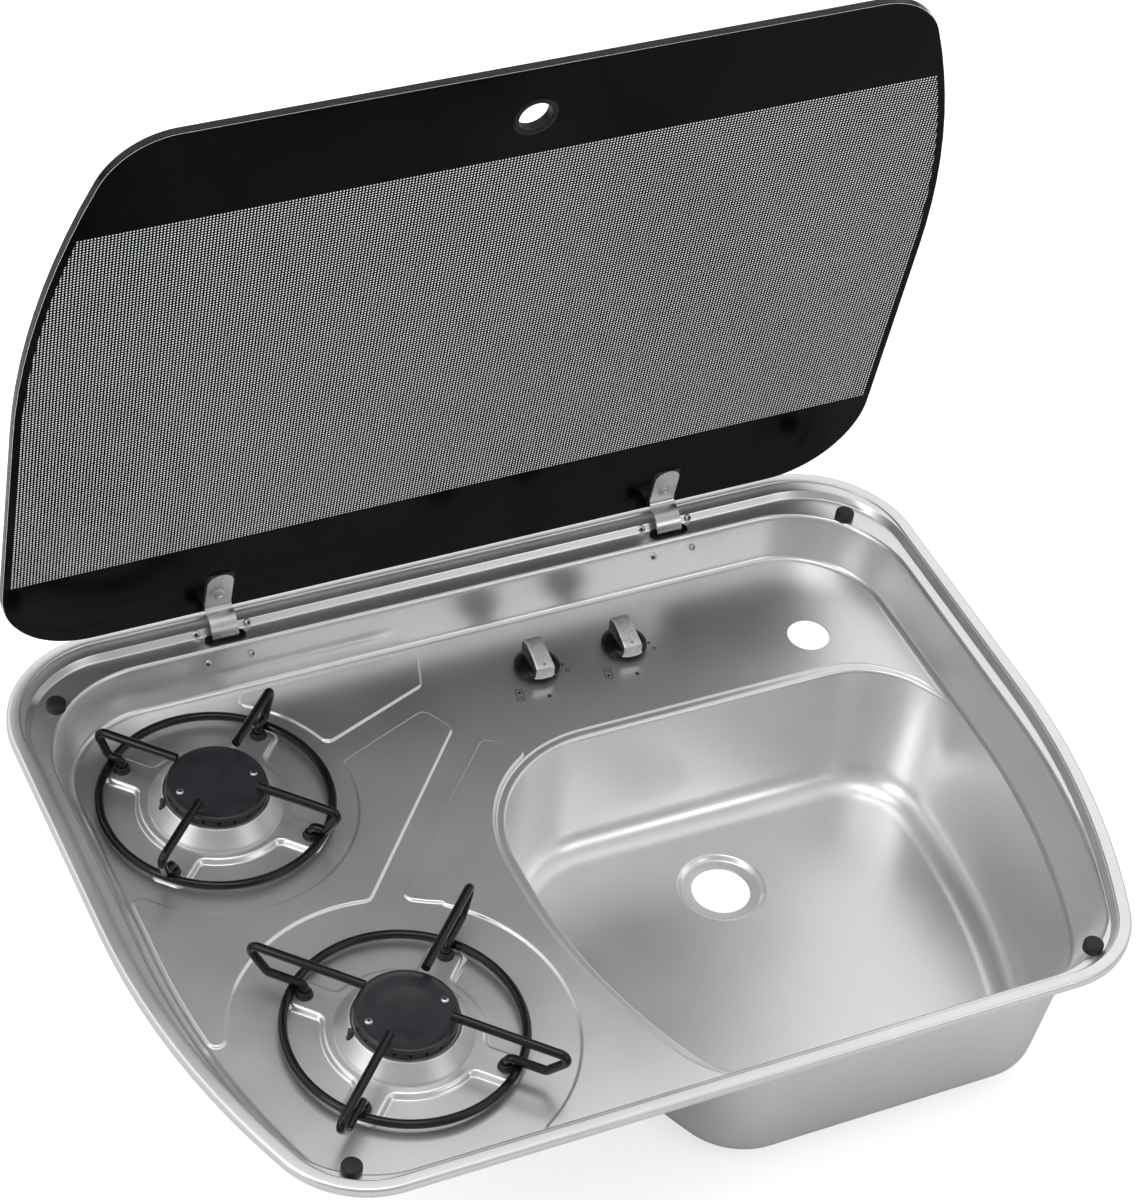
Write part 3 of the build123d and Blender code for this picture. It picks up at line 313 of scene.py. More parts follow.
# The open space in the tray is made as one solid. Turned inside out, its skin is the sheet's
# upper face, to which the rim is added at the end.
mouth = [
    (grown(shelf_edge, 0.9), 5.5),
    (grown(shelf_edge, 0.5), 5.42),
    (grown(shelf_edge, 0.2), 5.2),
    (grown(shelf_edge, 0.05), 4.9),
    (grown(shelf_edge, -0.03), 4.62),
    (between(grown(shelf_edge, -0.1), step_top, 0.15), 4.5),
    (between(grown(shelf_edge, -0.1), step_top, 0.85), 4.5),
    (step_top, 4.4),
    (between(step_top, step_foot, 0.06), 4.2),
    (between(step_top, step_foot, 0.14), 3.87),
    (between(step_top, step_foot, 0.8), 0.9),
    (between(step_top, step_foot, 0.92), 0.4),
    (between(step_top, step_foot, 1.05), 0.1),
    (grown(step_foot, -0.6), 0.0),
    (grown(ledge_round, 0.3), 0.0),
    (grown(ledge_round, -0.1), -0.06),
    (between(ledge_round, wall_top, 0.3), -0.32),
    (between(ledge_round, wall_top, 0.65), -0.95),
    (wall_top, wall_top_z),
]
for share in (0.08, 0.25, 0.4, 0.46, 0.51, 0.56, 0.61, 0.67, 0.75):
    mouth.append((between(wall_top, deck_edge, share), wall_top_z - wall_height * share))
blend_share = 0.86
blend_start, blend_end = between(wall_top, deck_edge, blend_share), grown(deck_edge, -3.6)
blend_z = wall_top_z - wall_height * blend_share
for step in range(7):
    share = step / 6
    upper = between(blend_start, deck_edge, share)
    lower = between(deck_edge, blend_end, share)
    high = blend_z + (deck_z - blend_z) * share
    mouth.append((between(upper, lower, share), high + (deck_z - high) * share))

# a low bead is pressed into the well's back wall, behind the rear burner
bead_x, bead_z, bead_depth = -101, -17.2, 0.9
bead_half_length, bead_run_out, bead_half_width = 54, 7, 2.0
rings = [ring_of(outline, z) for outline, z in mouth]
for ring in rings:
    for point in ring:
        left = bead_half_length - abs(point.x / mm - bead_x)
        share = min(max(left / bead_run_out, 0), 1)
        if point.y > 0.18 and -0.026 < point.z < -0.008:
            above = (point.z / mm - bead_z) / bead_half_width
            point.y -= bead_depth * mm * share * exp(-(above**2))


def diced(bm, face, step):
    """Cut one large flat face into a grid of small ones."""
    level = face.calc_center_median().z
    for axis in (Vector((1, 0, 0)), Vector((0, 1, 0))):
        for number in range(-12, 13):
            flat = [f for f in bm.faces if all(abs(v.co.z - level) < 1e-7 for v in f.verts)]
            edges = dict.fromkeys(edge for f in flat for edge in f.edges)
            verts = dict.fromkeys(vert for f in flat for vert in f.verts)
            bmesh.ops.bisect_plane(
                bm,
                geom=[*flat, *edges, *verts],
                plane_co=axis * (number + 0.37) * step * mm,
                plane_no=axis,
            )


dice = 28.0
bm = bmesh.new()
deck_end = loft(bm, rings, closed=True)[1]
diced(bm, deck_end, dice)
space = made("tray", bm)

bowl_lean, floor_radius, floor_inset = 6.5, 19, -27.213
draft = tan(radians(bowl_lean))
bowl = []
for z, share in (
    (-24.0, 1.1),
    (-29.5, 1.1),
    (-30.0, 1.06),
    (-30.35, 1.0),
    (-30.75, 0.93),
    (-30.96, 0.82),
    (-31.06, 0.5),
    (-31.2, 0.3),
    (-31.6, 0.13),
    (-32.4, 0.04),
    (-33.6, 0.0),
    (-60.0, 0.0),
    (-90.0, 0.0),
):
    bowl.append((grown(between(bowl_edge, lip_edge, share), (z - deck_z) * draft), z))
for step in range(10):
    angle = radians(bowl_lean + (90 - bowl_lean) * step / 9)
    z = floor_z + floor_radius - floor_radius * sin(angle)
    bowl.append((grown(bowl_edge, floor_inset + floor_radius * cos(angle)), z))
bm = bmesh.new()
floor_end = loft(bm, [ring_of(outline, z) for outline, z in bowl], closed=True)[1]
diced(bm, floor_end, dice)
hollow = made("bowl", bm)


def circle(centre, radius, height, sides):
    """Points round a level circle."""
    x, y = centre
    turns = [2 * pi * step / sides for step in range(sides)]
    return [
        Vector(((x + radius * cos(t)) * mm, (y + radius * sin(t)) * mm, height * mm))
        for t in turns
    ]


drain, drain_radius, drain_z = (110.0, 6.3), 18.5, -123.0
seat = [(29.2, -117), (29.0, -119.9), (28.3, -119.98), (27.4, -120.25), (26.6, -120.8)]
seat += [(25.4, -122.0), (24.7, -122.7), (23.8, drain_z), (drain_radius, drain_z)]
dish = block("drain", [circle(drain, radius, z, 72) for radius, z in seat])
combined(hollow, dish, "UNION")
combined(space, hollow, "UNION")


def top_loops(level):
    """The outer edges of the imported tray's flat tops at one level, as loops of points."""
    bm = bmesh.new()
    bm.from_mesh(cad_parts["tray"].data)
    bmesh.ops.remove_doubles(bm, verts=bm.verts, dist=1e-6)
    tops = [
        face
        for face in bm.faces
        if face.normal.z > 0.9 and all(abs(v.co.z - level * mm) < 2e-6 for v in face.verts)
    ]
    chosen = set(tops)
    edges = dict.fromkeys(
        edge
        for face in tops
        for edge in face.edges
        if sum(neighbour in chosen for neighbour in edge.link_faces) == 1
    )
    loops = []
    while edges:
        start, tip = edges.popitem()[0].verts
        loop = [start, tip]
        while tip is not start:
            following = [e for e in tip.link_edges if e in edges]
            if not following:
                break
            edges.pop(following[0])
            tip = following[0].other_vert(tip)
            if tip is not start:
                loop.append(tip)
        loops.append([vert.co.xy.copy() for vert in loop])
    bm.free()
    return loops


def loop_area(loop):
    """Signed area: positive where the loop runs anticlockwise from above."""
    return sum(a.x * b.y - b.x * a.y for a, b in zip(loop, loop[1:] + loop[:1])) / 2


def widened(loop, amount):
    """A closed loop of flat points moved outwards, with its corners kept."""
    count = len(loop)
    moved = []
    for i, point in enumerate(loop):
        ahead = (loop[(i + 1) % count] - point).normalized()
        behind = (point - loop[i - 1]).normalized()
        out = Vector((ahead.y + behind.y, -ahead.x - behind.x))
        out.normalize()
        lean = max(out.dot(Vector((ahead.y, -ahead.x))), 0.5)
        moved.append(point + out * (amount * mm / lean))
    return moved


panel_slope = [(1.5, -31.2), (1.5, -30.0), (1.15, -29.93), (0.8, -29.72), (0.45, -29.42)]
panel_slope += [(0.1, -29.1), (-0.3, -28.88), (-0.8, -28.8)]
star_slope = [(2.9, -31.2), (2.9, -30.0), (2.4, -29.9), (1.9, -29.55), (1.3, -28.8)]
star_slope += [(0.7, -27.95), (0.1, -27.35), (-0.6, -27.06), (-1.3, -27.0)]
panel_z, star_z = -28.8, -27.0
raised = []
for level, slope, least_area in ((panel_z, panel_slope, 1e-3), (star_z, star_slope, 5e-3)):
    for loop in top_loops(level):
        area = loop_area(loop)
        if area < 0:
            loop.reverse()
        if abs(area) >= least_area:
            raised.append(
                [
                    [Vector((p.x, p.y, z * mm)) for p in widened(loop, amount)]
                    for amount, z in slope
                ]
            )
combined(space, block("raised", *raised), "DIFFERENCE")

burners = {"rear": (-193.5, 96.0), "front": (-155.7, -101.5)}
foot_circle = 61
diagonals = [(cos(radians(angle)), sin(radians(angle))) for angle in (45, 135, 225, 315)]
feet = [
    (x + foot_circle * a, y + foot_circle * b) for x, y in burners.values() for a, b in diagonals
]
knob_spots = [(34.0, 139.5), (94.0, 139.5)]
holes = [((211.0, 111.5), 13.5, deck_z, 48)]
holes += [(centre, 36.5, star_z, 64) for centre in burners.values()]
holes += [(foot, 4.0, star_z, 20) for foot in feet]
holes += [(spot, 6.1, deck_z, 24) for spot in knob_spots]
cuts = [
    [circle(centre, radius, level + z, sides) for z in (1, -6)]
    for centre, radius, level, sides in holes
]
hinge_x, slot_y, slot_half_length, slot_half_width = 150.0, 197.5, 10.5, 2.95
for x in (-hinge_x, hinge_x):
    left, right = (x - slot_half_length) * mm, (x + slot_half_length) * mm
    near, far = (slot_y - slot_half_width) * mm, (slot_y + slot_half_width) * mm
    corners = ((left, near), (right, near), (right, far), (left, far))
    cuts.append([[Vector((a, b, z * mm)) for a, b in corners] for z in (1, -5)])
combined(space, block("holes", *cuts), "UNION")

bm = bmesh.new()
bm.from_mesh(space.data)
bmesh.ops.remove_doubles(bm, verts=bm.verts, dist=2e-7)
bmesh.ops.reverse_faces(bm, faces=bm.faces)
rim_z, rim_radius = 5.5, 2
dead = []
for face in bm.faces:
    middle = face.calc_center_median() / mm
    top = all(v.co.z > (rim_z - 0.01) * mm for v in face.verts)
    in_drain = middle.z < drain_z + 0.1 and all(
        (v.co.xy / mm - Vector(drain)).length < drain_radius + 0.1 for v in face.verts
    )
    in_hole = any(
        (middle.xy - Vector(centre)).length < radius + 0.3 and middle.z < level - 0.05
        for centre, radius, level, sides in holes
    )
    in_slot = (
        abs(abs(middle.x) - hinge_x) < slot_half_length + 0.3
        and abs(middle.y - slot_y) < slot_half_width + 0.25
        and middle.z < -0.05
    )
    if top or in_hole or in_slot or in_drain:
        dead.append(face)
bmesh.ops.delete(bm, geom=dead, context="FACES")
rim = [(tray_edge, 0.0), (tray_edge, rim_z - rim_radius)]
for step in range(1, 6):
    angle = pi / 2 * step / 5
    z = rim_z - rim_radius + rim_radius * sin(angle)
    rim.append((grown(tray_edge, -rim_radius + rim_radius * cos(angle)), z))
rim.append((grown(tray_edge, -4.5), rim_z))
rim.append((grown(shelf_edge, 0.9), rim_z))
old = set(bm.faces)
loft(bm, [ring_of(outline, z) for outline, z in rim])
rim_faces = [face for face in bm.faces if face not in old]
for face in rim_faces:
    face.normal_update()
flat_top = [face for face in rim_faces if abs(face.normal.z) > 0.99]
if flat_top[0].normal.z < 0:
    bmesh.ops.reverse_faces(bm, faces=rim_faces)
bmesh.ops.remove_doubles(bm, verts=bm.verts, dist=2e-7)
tray = space
bm.to_mesh(tray.data)
bm.free()
tray.name = "tray_pressing"
smoothed(tray, 34.0, weighted=False)
sheet = tray.modifiers.new("sheet", "SOLIDIFY")
sheet.thickness = 0.8 * mm
sheet.offset = -1.0
shading = tray.modifiers.new("even_shading", "WEIGHTED_NORMAL")
shading.keep_sharp = True


def fine_grain():
    """A shader group: two tones mixed by a soft mottle, uneven gloss and a fine tooth."""
    group = bpy.data.node_groups.new("fine_grain", "ShaderNodeTree")
    numbers = ("Mottle scale", "Tooth scale", "Roughness", "Unevenness", "Tooth depth")
    inputs = {"Tone": "Color", "Second tone": "Color", **dict.fromkeys(numbers, "Float")}
    outputs = {"Colour": "Color", "Roughness": "Float", "Normal": "Vector"}
    for in_out, sockets in (("INPUT", inputs), ("OUTPUT", outputs)):
        for name, kind in sockets.items():
            kind = f"NodeSocket{kind}"
            group.interface.new_socket(name=name, in_out=in_out, socket_type=kind)
    start = group.nodes.new("NodeGroupInput").outputs
    place = linked(group, "ShaderNodeTexCoord").outputs["Object"]

    def noise(scale, detail):
        given = {"Vector": place, "Scale": scale, "Detail": detail}
        return linked(group, "ShaderNodeTexNoise", inputs=given).outputs[0]

    mottle = noise(start["Mottle scale"], 4.0)
    tooth = noise(start["Tooth scale"], 2.0)
    span = {"Value": mottle, "From Min": 0.35, "From Max": 0.65}
    spread = linked(group, "ShaderNodeMapRange", inputs=span).outputs[0]
    tones = {0: spread, 6: start["Tone"], 7: start["Second tone"]}
    colour = linked(group, "ShaderNodeMix", {"data_type": "RGBA"}, tones).outputs[2]
    uneven = reckoned(group, "MULTIPLY_ADD", spread, start["Unevenness"], start["Roughness"])
    depth = reckoned(group, "MULTIPLY", start["Tooth depth"], mm)
    relief = {"Height": tooth, "Distance": depth, "Strength": 1.0}
    bump = linked(group, "ShaderNodeBump", inputs=relief).outputs[0]
    given = {"Colour": colour, "Roughness": uneven, "Normal": bump}
    linked(group, "NodeGroupOutput", inputs=given)
    return group


grain = fine_grain()


def finish(name, tones, scales, gloss, tooth=0.004, **shader_values):
    """A material from the grain group.

    It takes two tones, the (mottle, tooth) scales, (roughness, unevenness), the tooth's depth
    in mm, and plain values for the shader's own sockets.
    """
    material = bpy.data.materials.new(name)
    material.use_nodes = True
    tree = material.node_tree
    shader = tree.nodes["Principled BSDF"]
    values = ((*tones[0], 1), (*tones[1], 1), *scales, *gloss, tooth)
    group = linked(tree, "ShaderNodeGroup", {"node_tree": grain}, dict(enumerate(values)))
    results = {"Colour": "Base Color", "Roughness": "Roughness", "Normal": "Normal"}
    for result, socket_or_recess_shade in results.items():
        tree.links.new(group.outputs[result], shader.inputs[socket_or_recess_shade])
    for socket_or_recess_shade, value in shader_values.items():
        socket_or_recess_shade = socket_or_recess_shade.replace("_", " ").title().replace("Ior", "IOR")
        shader.inputs[socket_or_recess_shade].default_value = value
    return material


satin_steel = finish(
    "satin_steel",
    ((0.78, 0.78, 0.79), (0.83, 0.83, 0.84)),
    (14.0, 1300.0),
    (0.29, 0.05),
    0.0005,
    metallic=0.86,
)
tray.data.materials.clear()
tray.data.materials.append(satin_steel)
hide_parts("tray")
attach(tray, "tray_unit")


def dressed(material, *names):
    """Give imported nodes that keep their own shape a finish."""
    for name in names:
        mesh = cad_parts[name].data
        for index in range(len(mesh.materials)):
            mesh.materials[index] = material


# ------------------------------------------------------------------ seal and buffers
# A black rubber strip is stuck under the rim. Four black rubber buttons are pushed into the
# ledge's corners, and the shut lid lies on them.

black_rubber = finish(
    "black_rubber",
    ((0.01, 0.01, 0.011), (0.018, 0.018, 0.02)),
    (60.0, 1500.0),
    (0.42, 0.1),
    0.008,
    specular_ior_level=0.35,
)
dressed(black_rubber, "rim_seal")


def lathe(name, profile, sides, material):
    """A turned piece about its own upright axis, from a closed run of (radius, z) in mm."""
    bm = bmesh.new()
    rings = []
    for radius, z in profile:
        points = circle((0, 0), radius, z, sides if radius else 1)
        rings.append([bm.verts.new(point) for point in points])
    for lower, upper in zip(rings, rings[1:] + rings[:1]):
        for i in range(sides):
            j = (i + 1) % sides
            corners = [lower[i % len(lower)], lower[j % len(lower)]]
            corners += [upper[j % len(upper)], upper[i % len(upper)]]
            corners = list(dict.fromkeys(corners))
            if len(corners) > 2:
                bm.faces.new(corners)
    thing = made(name, bm)
    thing.data.materials.append(material)
    return thing


def node_tree(name, *inputs):
    """A new Geometry Nodes tree with these (name, kind) inputs, and its inputs' sockets."""
    tree = bpy.data.node_groups.new(name, "GeometryNodeTree")
    for label, kind in (("Geometry", "Geometry"), *inputs, ("Finish", "Material")):
        tree.interface.new_socket(name=label, in_out="INPUT", socket_type=f"NodeSocket{kind}")
    tree.interface.new_socket(name="Out", in_out="OUTPUT", socket_type="NodeSocketGeometry")
    return tree, tree.nodes.new("NodeGroupInput").outputs


def realized(tree, geometry, material):
    """End a tree by making its geometry real and giving it a material."""
    real = linked(tree, "GeometryNodeRealizeInstances", inputs={0: geometry}).outputs[0]
    given = {"Geometry": real, "Material": material}
    inked = linked(tree, "GeometryNodeSetMaterial", inputs=given).outputs[0]
    linked(tree, "NodeGroupOutput", inputs={0: inked})
    return tree


def shaped(thing, tree, given):
    """Run a tree on an object, with the named inputs given, and keep the resulting mesh."""
    setting = thing.modifiers.new(tree.name, "NODES")
    setting.node_group = tree
    for item in tree.interface.items_tree:
        if item.in_out == "INPUT" and item.name in given:
            setting[item.identifier] = given[item.name]
    return settled(thing)


def copier():
    """A tree that sets one piece on every point, turned as the point's "turn" says."""
    tree, start = node_tree("set_on_points", ("Piece", "Object"))
    piece = linked(tree, "GeometryNodeObjectInfo", inputs={"Object": start["Piece"]})
    turn = linked(
        tree,
        "GeometryNodeInputNamedAttribute",
        {"data_type": "FLOAT_VECTOR"},
        {"Name": "turn"},
    ).outputs[0]
    rotation = linked(tree, "FunctionNodeEulerToRotation", inputs={0: turn}).outputs[0]
    placed = linked(
        tree,
        "GeometryNodeInstanceOnPoints",
        inputs={
            "Points": start["Geometry"],
            "Instance": piece.outputs["Geometry"],
            "Rotation": rotation,
        },
    ).outputs[0]
    return realized(tree, placed, start["Finish"])


set_on_points = copier()


def copies(name, piece, places, material):
    """Copies of a piece at (point in mm, turn) places, as one plain mesh."""
    mesh = bpy.data.meshes.new(name)
    mesh.from_pydata([Vector(point) * mm for point, turn in places], [], [])
    turns = mesh.attributes.new("turn", "FLOAT_VECTOR", "POINT")
    turns.data.foreach_set("vector", [value for point, turn in places for value in turn])
    thing = bpy.data.objects.new(name, mesh)
    bpy.context.collection.objects.link(thing)
    shaped(thing, set_on_points, {"Piece": piece, "Finish": material})
    bpy.data.objects.remove(piece)
    return thing


upright_turn = (0.0, 0.0, 0.0)
button = lathe(
    "button",
    [(0, 0.02), (6, 0.02), (6, 3.9), (5.8, 4.6), (5.2, 5.1), (4.2, 5.4), (0, 5.5)],
    36,
    black_rubber,
)
spots = [(-265.1, 175.0), (265.1, 175.0), (-229.7, -200.1), (229.7, -200.1)]
buttons = copies("lid_buffers", button, [((*s, 0), upright_turn) for s in spots], black_rubber)
smoothed(buttons, 40.0)
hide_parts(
    "buffer_rear_left",
    "buffer_rear_right",
    "buffer_front_left",
    "buffer_front_right",
)
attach(buttons, "tray_unit")

# ------------------------------------------------------------------ hinges
# Each hinge is a steel strap, curled to pass through a black plastic slot insert, on a pin
# between the ears of a bracket under the ledge. Small zinc-plated screws hold the bracket.

black_plastic = finish(
    "black_plastic",
    ((0.005, 0.005, 0.006), (0.01, 0.01, 0.011)),
    (80.0, 1800.0),
    (0.26, 0.08),
    0.006,
    specular_ior_level=0.22,
)
zinc_plate = finish(
    "zinc_plate",
    ((0.55, 0.56, 0.58), (0.66, 0.67, 0.68)),
    (90.0, 2400.0),
    (0.28, 0.1),
    0.003,
    metallic=1.0,
)
strap_steel = finish(
    "strap_steel",
    ((0.58, 0.58, 0.59), (0.68, 0.68, 0.68)),
    (70.0, 2200.0),
    (0.24, 0.08),
    0.004,
    metallic=1.0,
)
nylon = finish("nylon", ((0.72, 0.72, 0.68), (0.8, 0.8, 0.76)), (90.0, 900.0), (0.5, 0.1))
dressed(black_plastic, "hinge_slot_left", "hinge_slot_right")
dressed(zinc_plate, "hinge_bracket_left", "hinge_bracket_right", "hinge_pins")
dressed(strap_steel, "hinge_strap_left", "hinge_strap_right")
dressed(nylon, "hinge_washers")


def cross_head(name, radius, height, shank, material):
    """A domed screw head with a cross recess, on its shank, seated at z = 0."""
    profile = [(0, -shank), (radius * 0.55, -shank), (radius * 0.55, 0), (radius, 0)]
    for step in range(1, 5):
        angle = pi / 2 * step / 5
        profile.append((radius * cos(angle), height * sin(angle) ** 0.8))
    profile.append((0, height))
    head = lathe(name, profile, 20, material)
    rings = []
    for z, shrink in ((height * 1.5, 1.0), (height * 0.3, 0.8)):
        a, b = 0.6 * radius * shrink, 0.17 * radius * shrink
        cross = [(a, -b), (a, b), (b, b)]
        while len(cross) < 12:
            cross += [(-y, x) for x, y in cross[-3:]]
        rings.append([Vector((x * mm, y * mm, z * mm)) for x, y in cross])
    return combined(head, block("recess", rings), "DIFFERENCE")


# to each side of a strap, one screw on the step's slope and one on the well's back wall
seats = (
    (16.5, 204.47, 2.35, atan2(4.5, 2.8), 0.4),
    (14.0, 189.25, -9.0, atan2(30.0, 7.5), 0.7),
)
hinge_places = [
    ((x + side * across, y, z), (slope, 0, turned * side))
    for x in (-hinge_x, hinge_x)
    for side in (-1, 1)
    for across, y, z, slope, turned in seats
]
head = cross_head("hinge_screw", 2.6, 1.3, 3.6, zinc_plate)
hinge_screws = copies("hinge_bracket_screws", head, hinge_places, zinc_plate)
# each screw's cross recess is filled with a short black cylinder: painted shade in the recess, not
# a part of the screw
socket_or_recess_shade = lathe("hinge_socket", [(0, 0.2), (1.05, 0.2), (1.05, 1.24), (0, 1.24)], 16, black_rubber)
hinge_recess_shades = copies("hinge_screw_sockets", socket_or_recess_shade, hinge_places, black_rubber)
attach(hinge_recess_shades, "tray_unit")
smoothed(hinge_screws, 35.0)
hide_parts("hinge_screws")
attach(hinge_screws, "tray_unit")

# ------------------------------------------------------------------ lid
# One plate of toughened glass, 5 mm thick, with ground edges. Black enamel is printed on
# the side that shows when it stands open: solid borders, and fine clear dots between them.

lid_edge = even(287.5, 59.5, 0, 477.5, 47.5, 201.8, -214.1)
hinge_line = Matrix.Translation((0, 0.2105, -0.001))
opened = hinge_line @ Matrix.Rotation(radians(-81.5), 4, "X") @ hinge_line.inverted()
finger_hole, finger_radius = (0.0, -177.1), 11.5
bolt_y, bolt_radius = 184.8, 2.5

glass = bpy.data.materials.new("grey_glass")
glass.use_nodes = True
tree = glass.node_tree
shader = tree.nodes["Principled BSDF"]
shader.inputs["Transmission Weight"].default_value = 1.0
shader.inputs["IOR"].default_value = 1.45
place = linked(tree, "ShaderNodeTexCoord").outputs["Object"]
cloud = {"Vector": place, "Scale": 30.0, "Detail": 3.0}
haze = linked(tree, "ShaderNodeTexNoise", inputs=cloud).outputs[0]
tint = linked(
    tree,
    "ShaderNodeMix",
    {"data_type": "RGBA"},
    {0: haze, 6: (0.72, 0.75, 0.75, 1), 7: (0.78, 0.8, 0.8, 1)},
).outputs[2]
tree.links.new(tint, shader.inputs["Base Color"])
tree.links.new(reckoned(tree, "MULTIPLY_ADD", haze, 0.03, 0.02), shader.inputs["Roughness"])


def drilled(plate):
    """Cut the finger hole, then the two bolt holes, through a plate of the shut lid."""
    bolts = [((x, bolt_y), bolt_radius, 24) for x in (-hinge_x, hinge_x)]
    for drills in ([(finger_hole, finger_radius, 64)], bolts):
        rods = [[circle(spot, r, z, sides) for z in (0, 16)] for spot, r, sides in drills]
        combined(plate, block("drills", *rods), "DIFFERENCE")


plate = [(grown(lid_edge, -0.3), 5.6), (lid_edge, 5.9), (lid_edge, 10.0)]
plate.append((grown(lid_edge, -0.6), 10.6))
pane = block("lid_pane", [ring_of(outline, z) for outline, z in plate])
drilled(pane)
pane.data.transform(opened)
pane.data.materials.clear()
pane.data.materials.append(glass)
smoothed(pane, 25.0)
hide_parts("lid_glass")
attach(pane, "lid")

print_black = finish(
    "black_print",
    ((0.0015, 0.0015, 0.002), (0.003, 0.003, 0.0035)),
    (25.0, 900.0),
    (0.14, 0.04),
    0.0003,
    specular_ior_level=0.06,
)
print_dots = print_black.copy()
print_dots.name = "dotted_print"
tree = print_dots.node_tree
shader = tree.nodes["Principled BSDF"]
dot_pitch, dot_radius = 1.95, 0.262  # the radius is a share of the pitch
dots_from, dots_to = -0.1482, 0.1358
uv = linked(tree, "ShaderNodeUVMap", {"uv_map": "print"}).outputs[0]


def on_uv(operation, given):
    """The results of one Vector Math step of the dots' pattern."""
    return linked(tree, "ShaderNodeVectorMath", {"operation": operation}, given).outputs


cell = on_uv("SCALE", {0: uv, "Scale": 1000.0 / dot_pitch})[0]
share = on_uv("FRACTION", {0: cell})[0]
off_centre = on_uv("SUBTRACT", {0: share, 1: (0.5, 0.5, 0.0)})[0]
distance = on_uv("LENGTH", {0: off_centre})["Value"]
dot = reckoned(tree, "LESS_THAN", distance, dot_radius)
along = linked(tree, "ShaderNodeSeparateXYZ", inputs={0: uv}).outputs["Y"]
above = reckoned(tree, "GREATER_THAN", along, dots_from)
below = reckoned(tree, "LESS_THAN", along, dots_to)
clear = reckoned(tree, "MULTIPLY", dot, reckoned(tree, "MULTIPLY", above, below))
tree.links.new(reckoned(tree, "SUBTRACT", 1.0, clear), shader.inputs["Alpha"])

bm = bmesh.new()
layers = [(-5.0, 5.53), (-0.5, 5.53), (-0.5, 5.585), (-5.0, 5.585)]
ends = loft(bm, [ring_of(grown(lid_edge, amount), z) for amount, z in layers], closed=True)
for face in ends:
    face.material_index = 1
enamel = made("lid_print", bm)
enamel.data.materials.append(print_black)
enamel.data.materials.append(print_dots)
drilled(enamel)
uv_layer = enamel.data.uv_layers.new(name="print")
for corner, loop in zip(uv_layer.data, enamel.data.loops):
    corner.uv = enamel.data.vertices[loop.vertex_index].co.xy
enamel.data.transform(opened)
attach(enamel, "lid")

# a black plastic ring is snapped into the finger hole
ring_profile = [(10, 5.0), (10.4, 4.7), (11.2, 4.6), (12.6, 4.6), (13.2, 4.8), (13.4, 5.3)]
ring_profile += [(13.4, 5.45), (11.45, 5.45), (11.45, 10.62), (13.4, 10.62), (13.4, 11.0)]
ring_profile += [(13.1, 11.5), (12.4, 11.6), (11.0, 11.6), (10.3, 11.4), (10, 11.0)]
finger_ring = lathe("finger_ring", ring_profile, 64, black_plastic)
finger_ring.data.transform(Matrix.Translation((0, finger_hole[1] * mm, 0)))
finger_ring.data.transform(opened)
smoothed(finger_ring, 50.0)
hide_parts("finger_hole_ring")
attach(finger_ring, "lid")

# one bolt through each strap, with a rubber pad between strap and glass
dressed(black_rubber, "strap_pads")
bolt_profile = [(0, -7.0), (2.4, -7.0), (2.4, 0), (4.5, 0), (4.45, 0.35), (4.0, 0.8), (3.2, 1.1)]
bolt_profile += [(2.0, 1.2), (1.7, 0.5), (0, 0.4)]
bolt = lathe("strap_bolt", bolt_profile, 32, zinc_plate)
cap_profile = [(0, -9.4), (5.2, -9.4), (5.9, -9.0), (6, -8.4), (6, -7.0), (2.3, -7.0)]
cap_profile += [(2.3, -7.2), (0, -7.2)]
bolt_cap = lathe("bolt_cap", cap_profile, 32, zinc_plate)
combined(bolt, bolt_cap, "UNION")
bolt.data.transform(Matrix.Rotation(pi, 4, "X"))
bolt.data.transform(opened @ Matrix.Translation((0, bolt_y * mm, 3.6 * mm)))
bolt_places = [((x, 0, 0), upright_turn) for x in (-hinge_x, hinge_x)]
bolts = copies("strap_bolt_heads", bolt, bolt_places, zinc_plate)
smoothed(bolts, 35.0)
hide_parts("strap_bolts")
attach(bolts, "lid")

# ------------------------------------------------------------------ burners
# A pressed steel collar stands on each raised star. Inside it an alloy ring with flame
# slots carries a black enamelled cap, held by two small screws, with a thermocouple beside.

collar_steel = finish(
    "collar_steel",
    ((0.66, 0.66, 0.665), (0.74, 0.74, 0.745)),
    (40.0, 2400.0),
    (0.4, 0.06),
    0.001,
    metallic=0.86,
)
cast_alloy = finish(
    "cast_alloy",
    ((0.42, 0.42, 0.43), (0.54, 0.54, 0.55)),
    (120.0, 1400.0),
    (0.45, 0.12),
    0.012,
    metallic=1.0,
)
cap_enamel = finish(
    "cap_enamel",
    ((0.022, 0.023, 0.027), (0.03, 0.031, 0.036)),
    (70.0, 900.0),
    (0.27, 0.06),
    0.002,
)
centres = [((x, y, 0), upright_turn) for x, y in burners.values()]
collar_profile = [(38.6, -27), (39.9, -27), (40, -26.8), (40, -25.5), (39.8, -25.1)]
collar_profile += [(39.3, -24.6), (36.5, -21.3), (34.2, -18.6), (32.9, -17.0), (32.4, -16.4)]
collar_profile += [(31.9, -16.1), (31.3, -16.2), (31.05, -16.8), (31.6, -18.0), (38.0, -25.4)]
collar = lathe("collar", collar_profile, 72, collar_steel)
probe = [circle((-33.6, 0), 2.1, z, 20) for z in (-30.0, 0.0)]
combined(collar, block("probe_hole", probe), "DIFFERENCE")
collars = copies("burner_collar_pressings", collar, centres, collar_steel)
smoothed(collars, 40.0)
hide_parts("burner_collars")
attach(collars, "tray_unit")

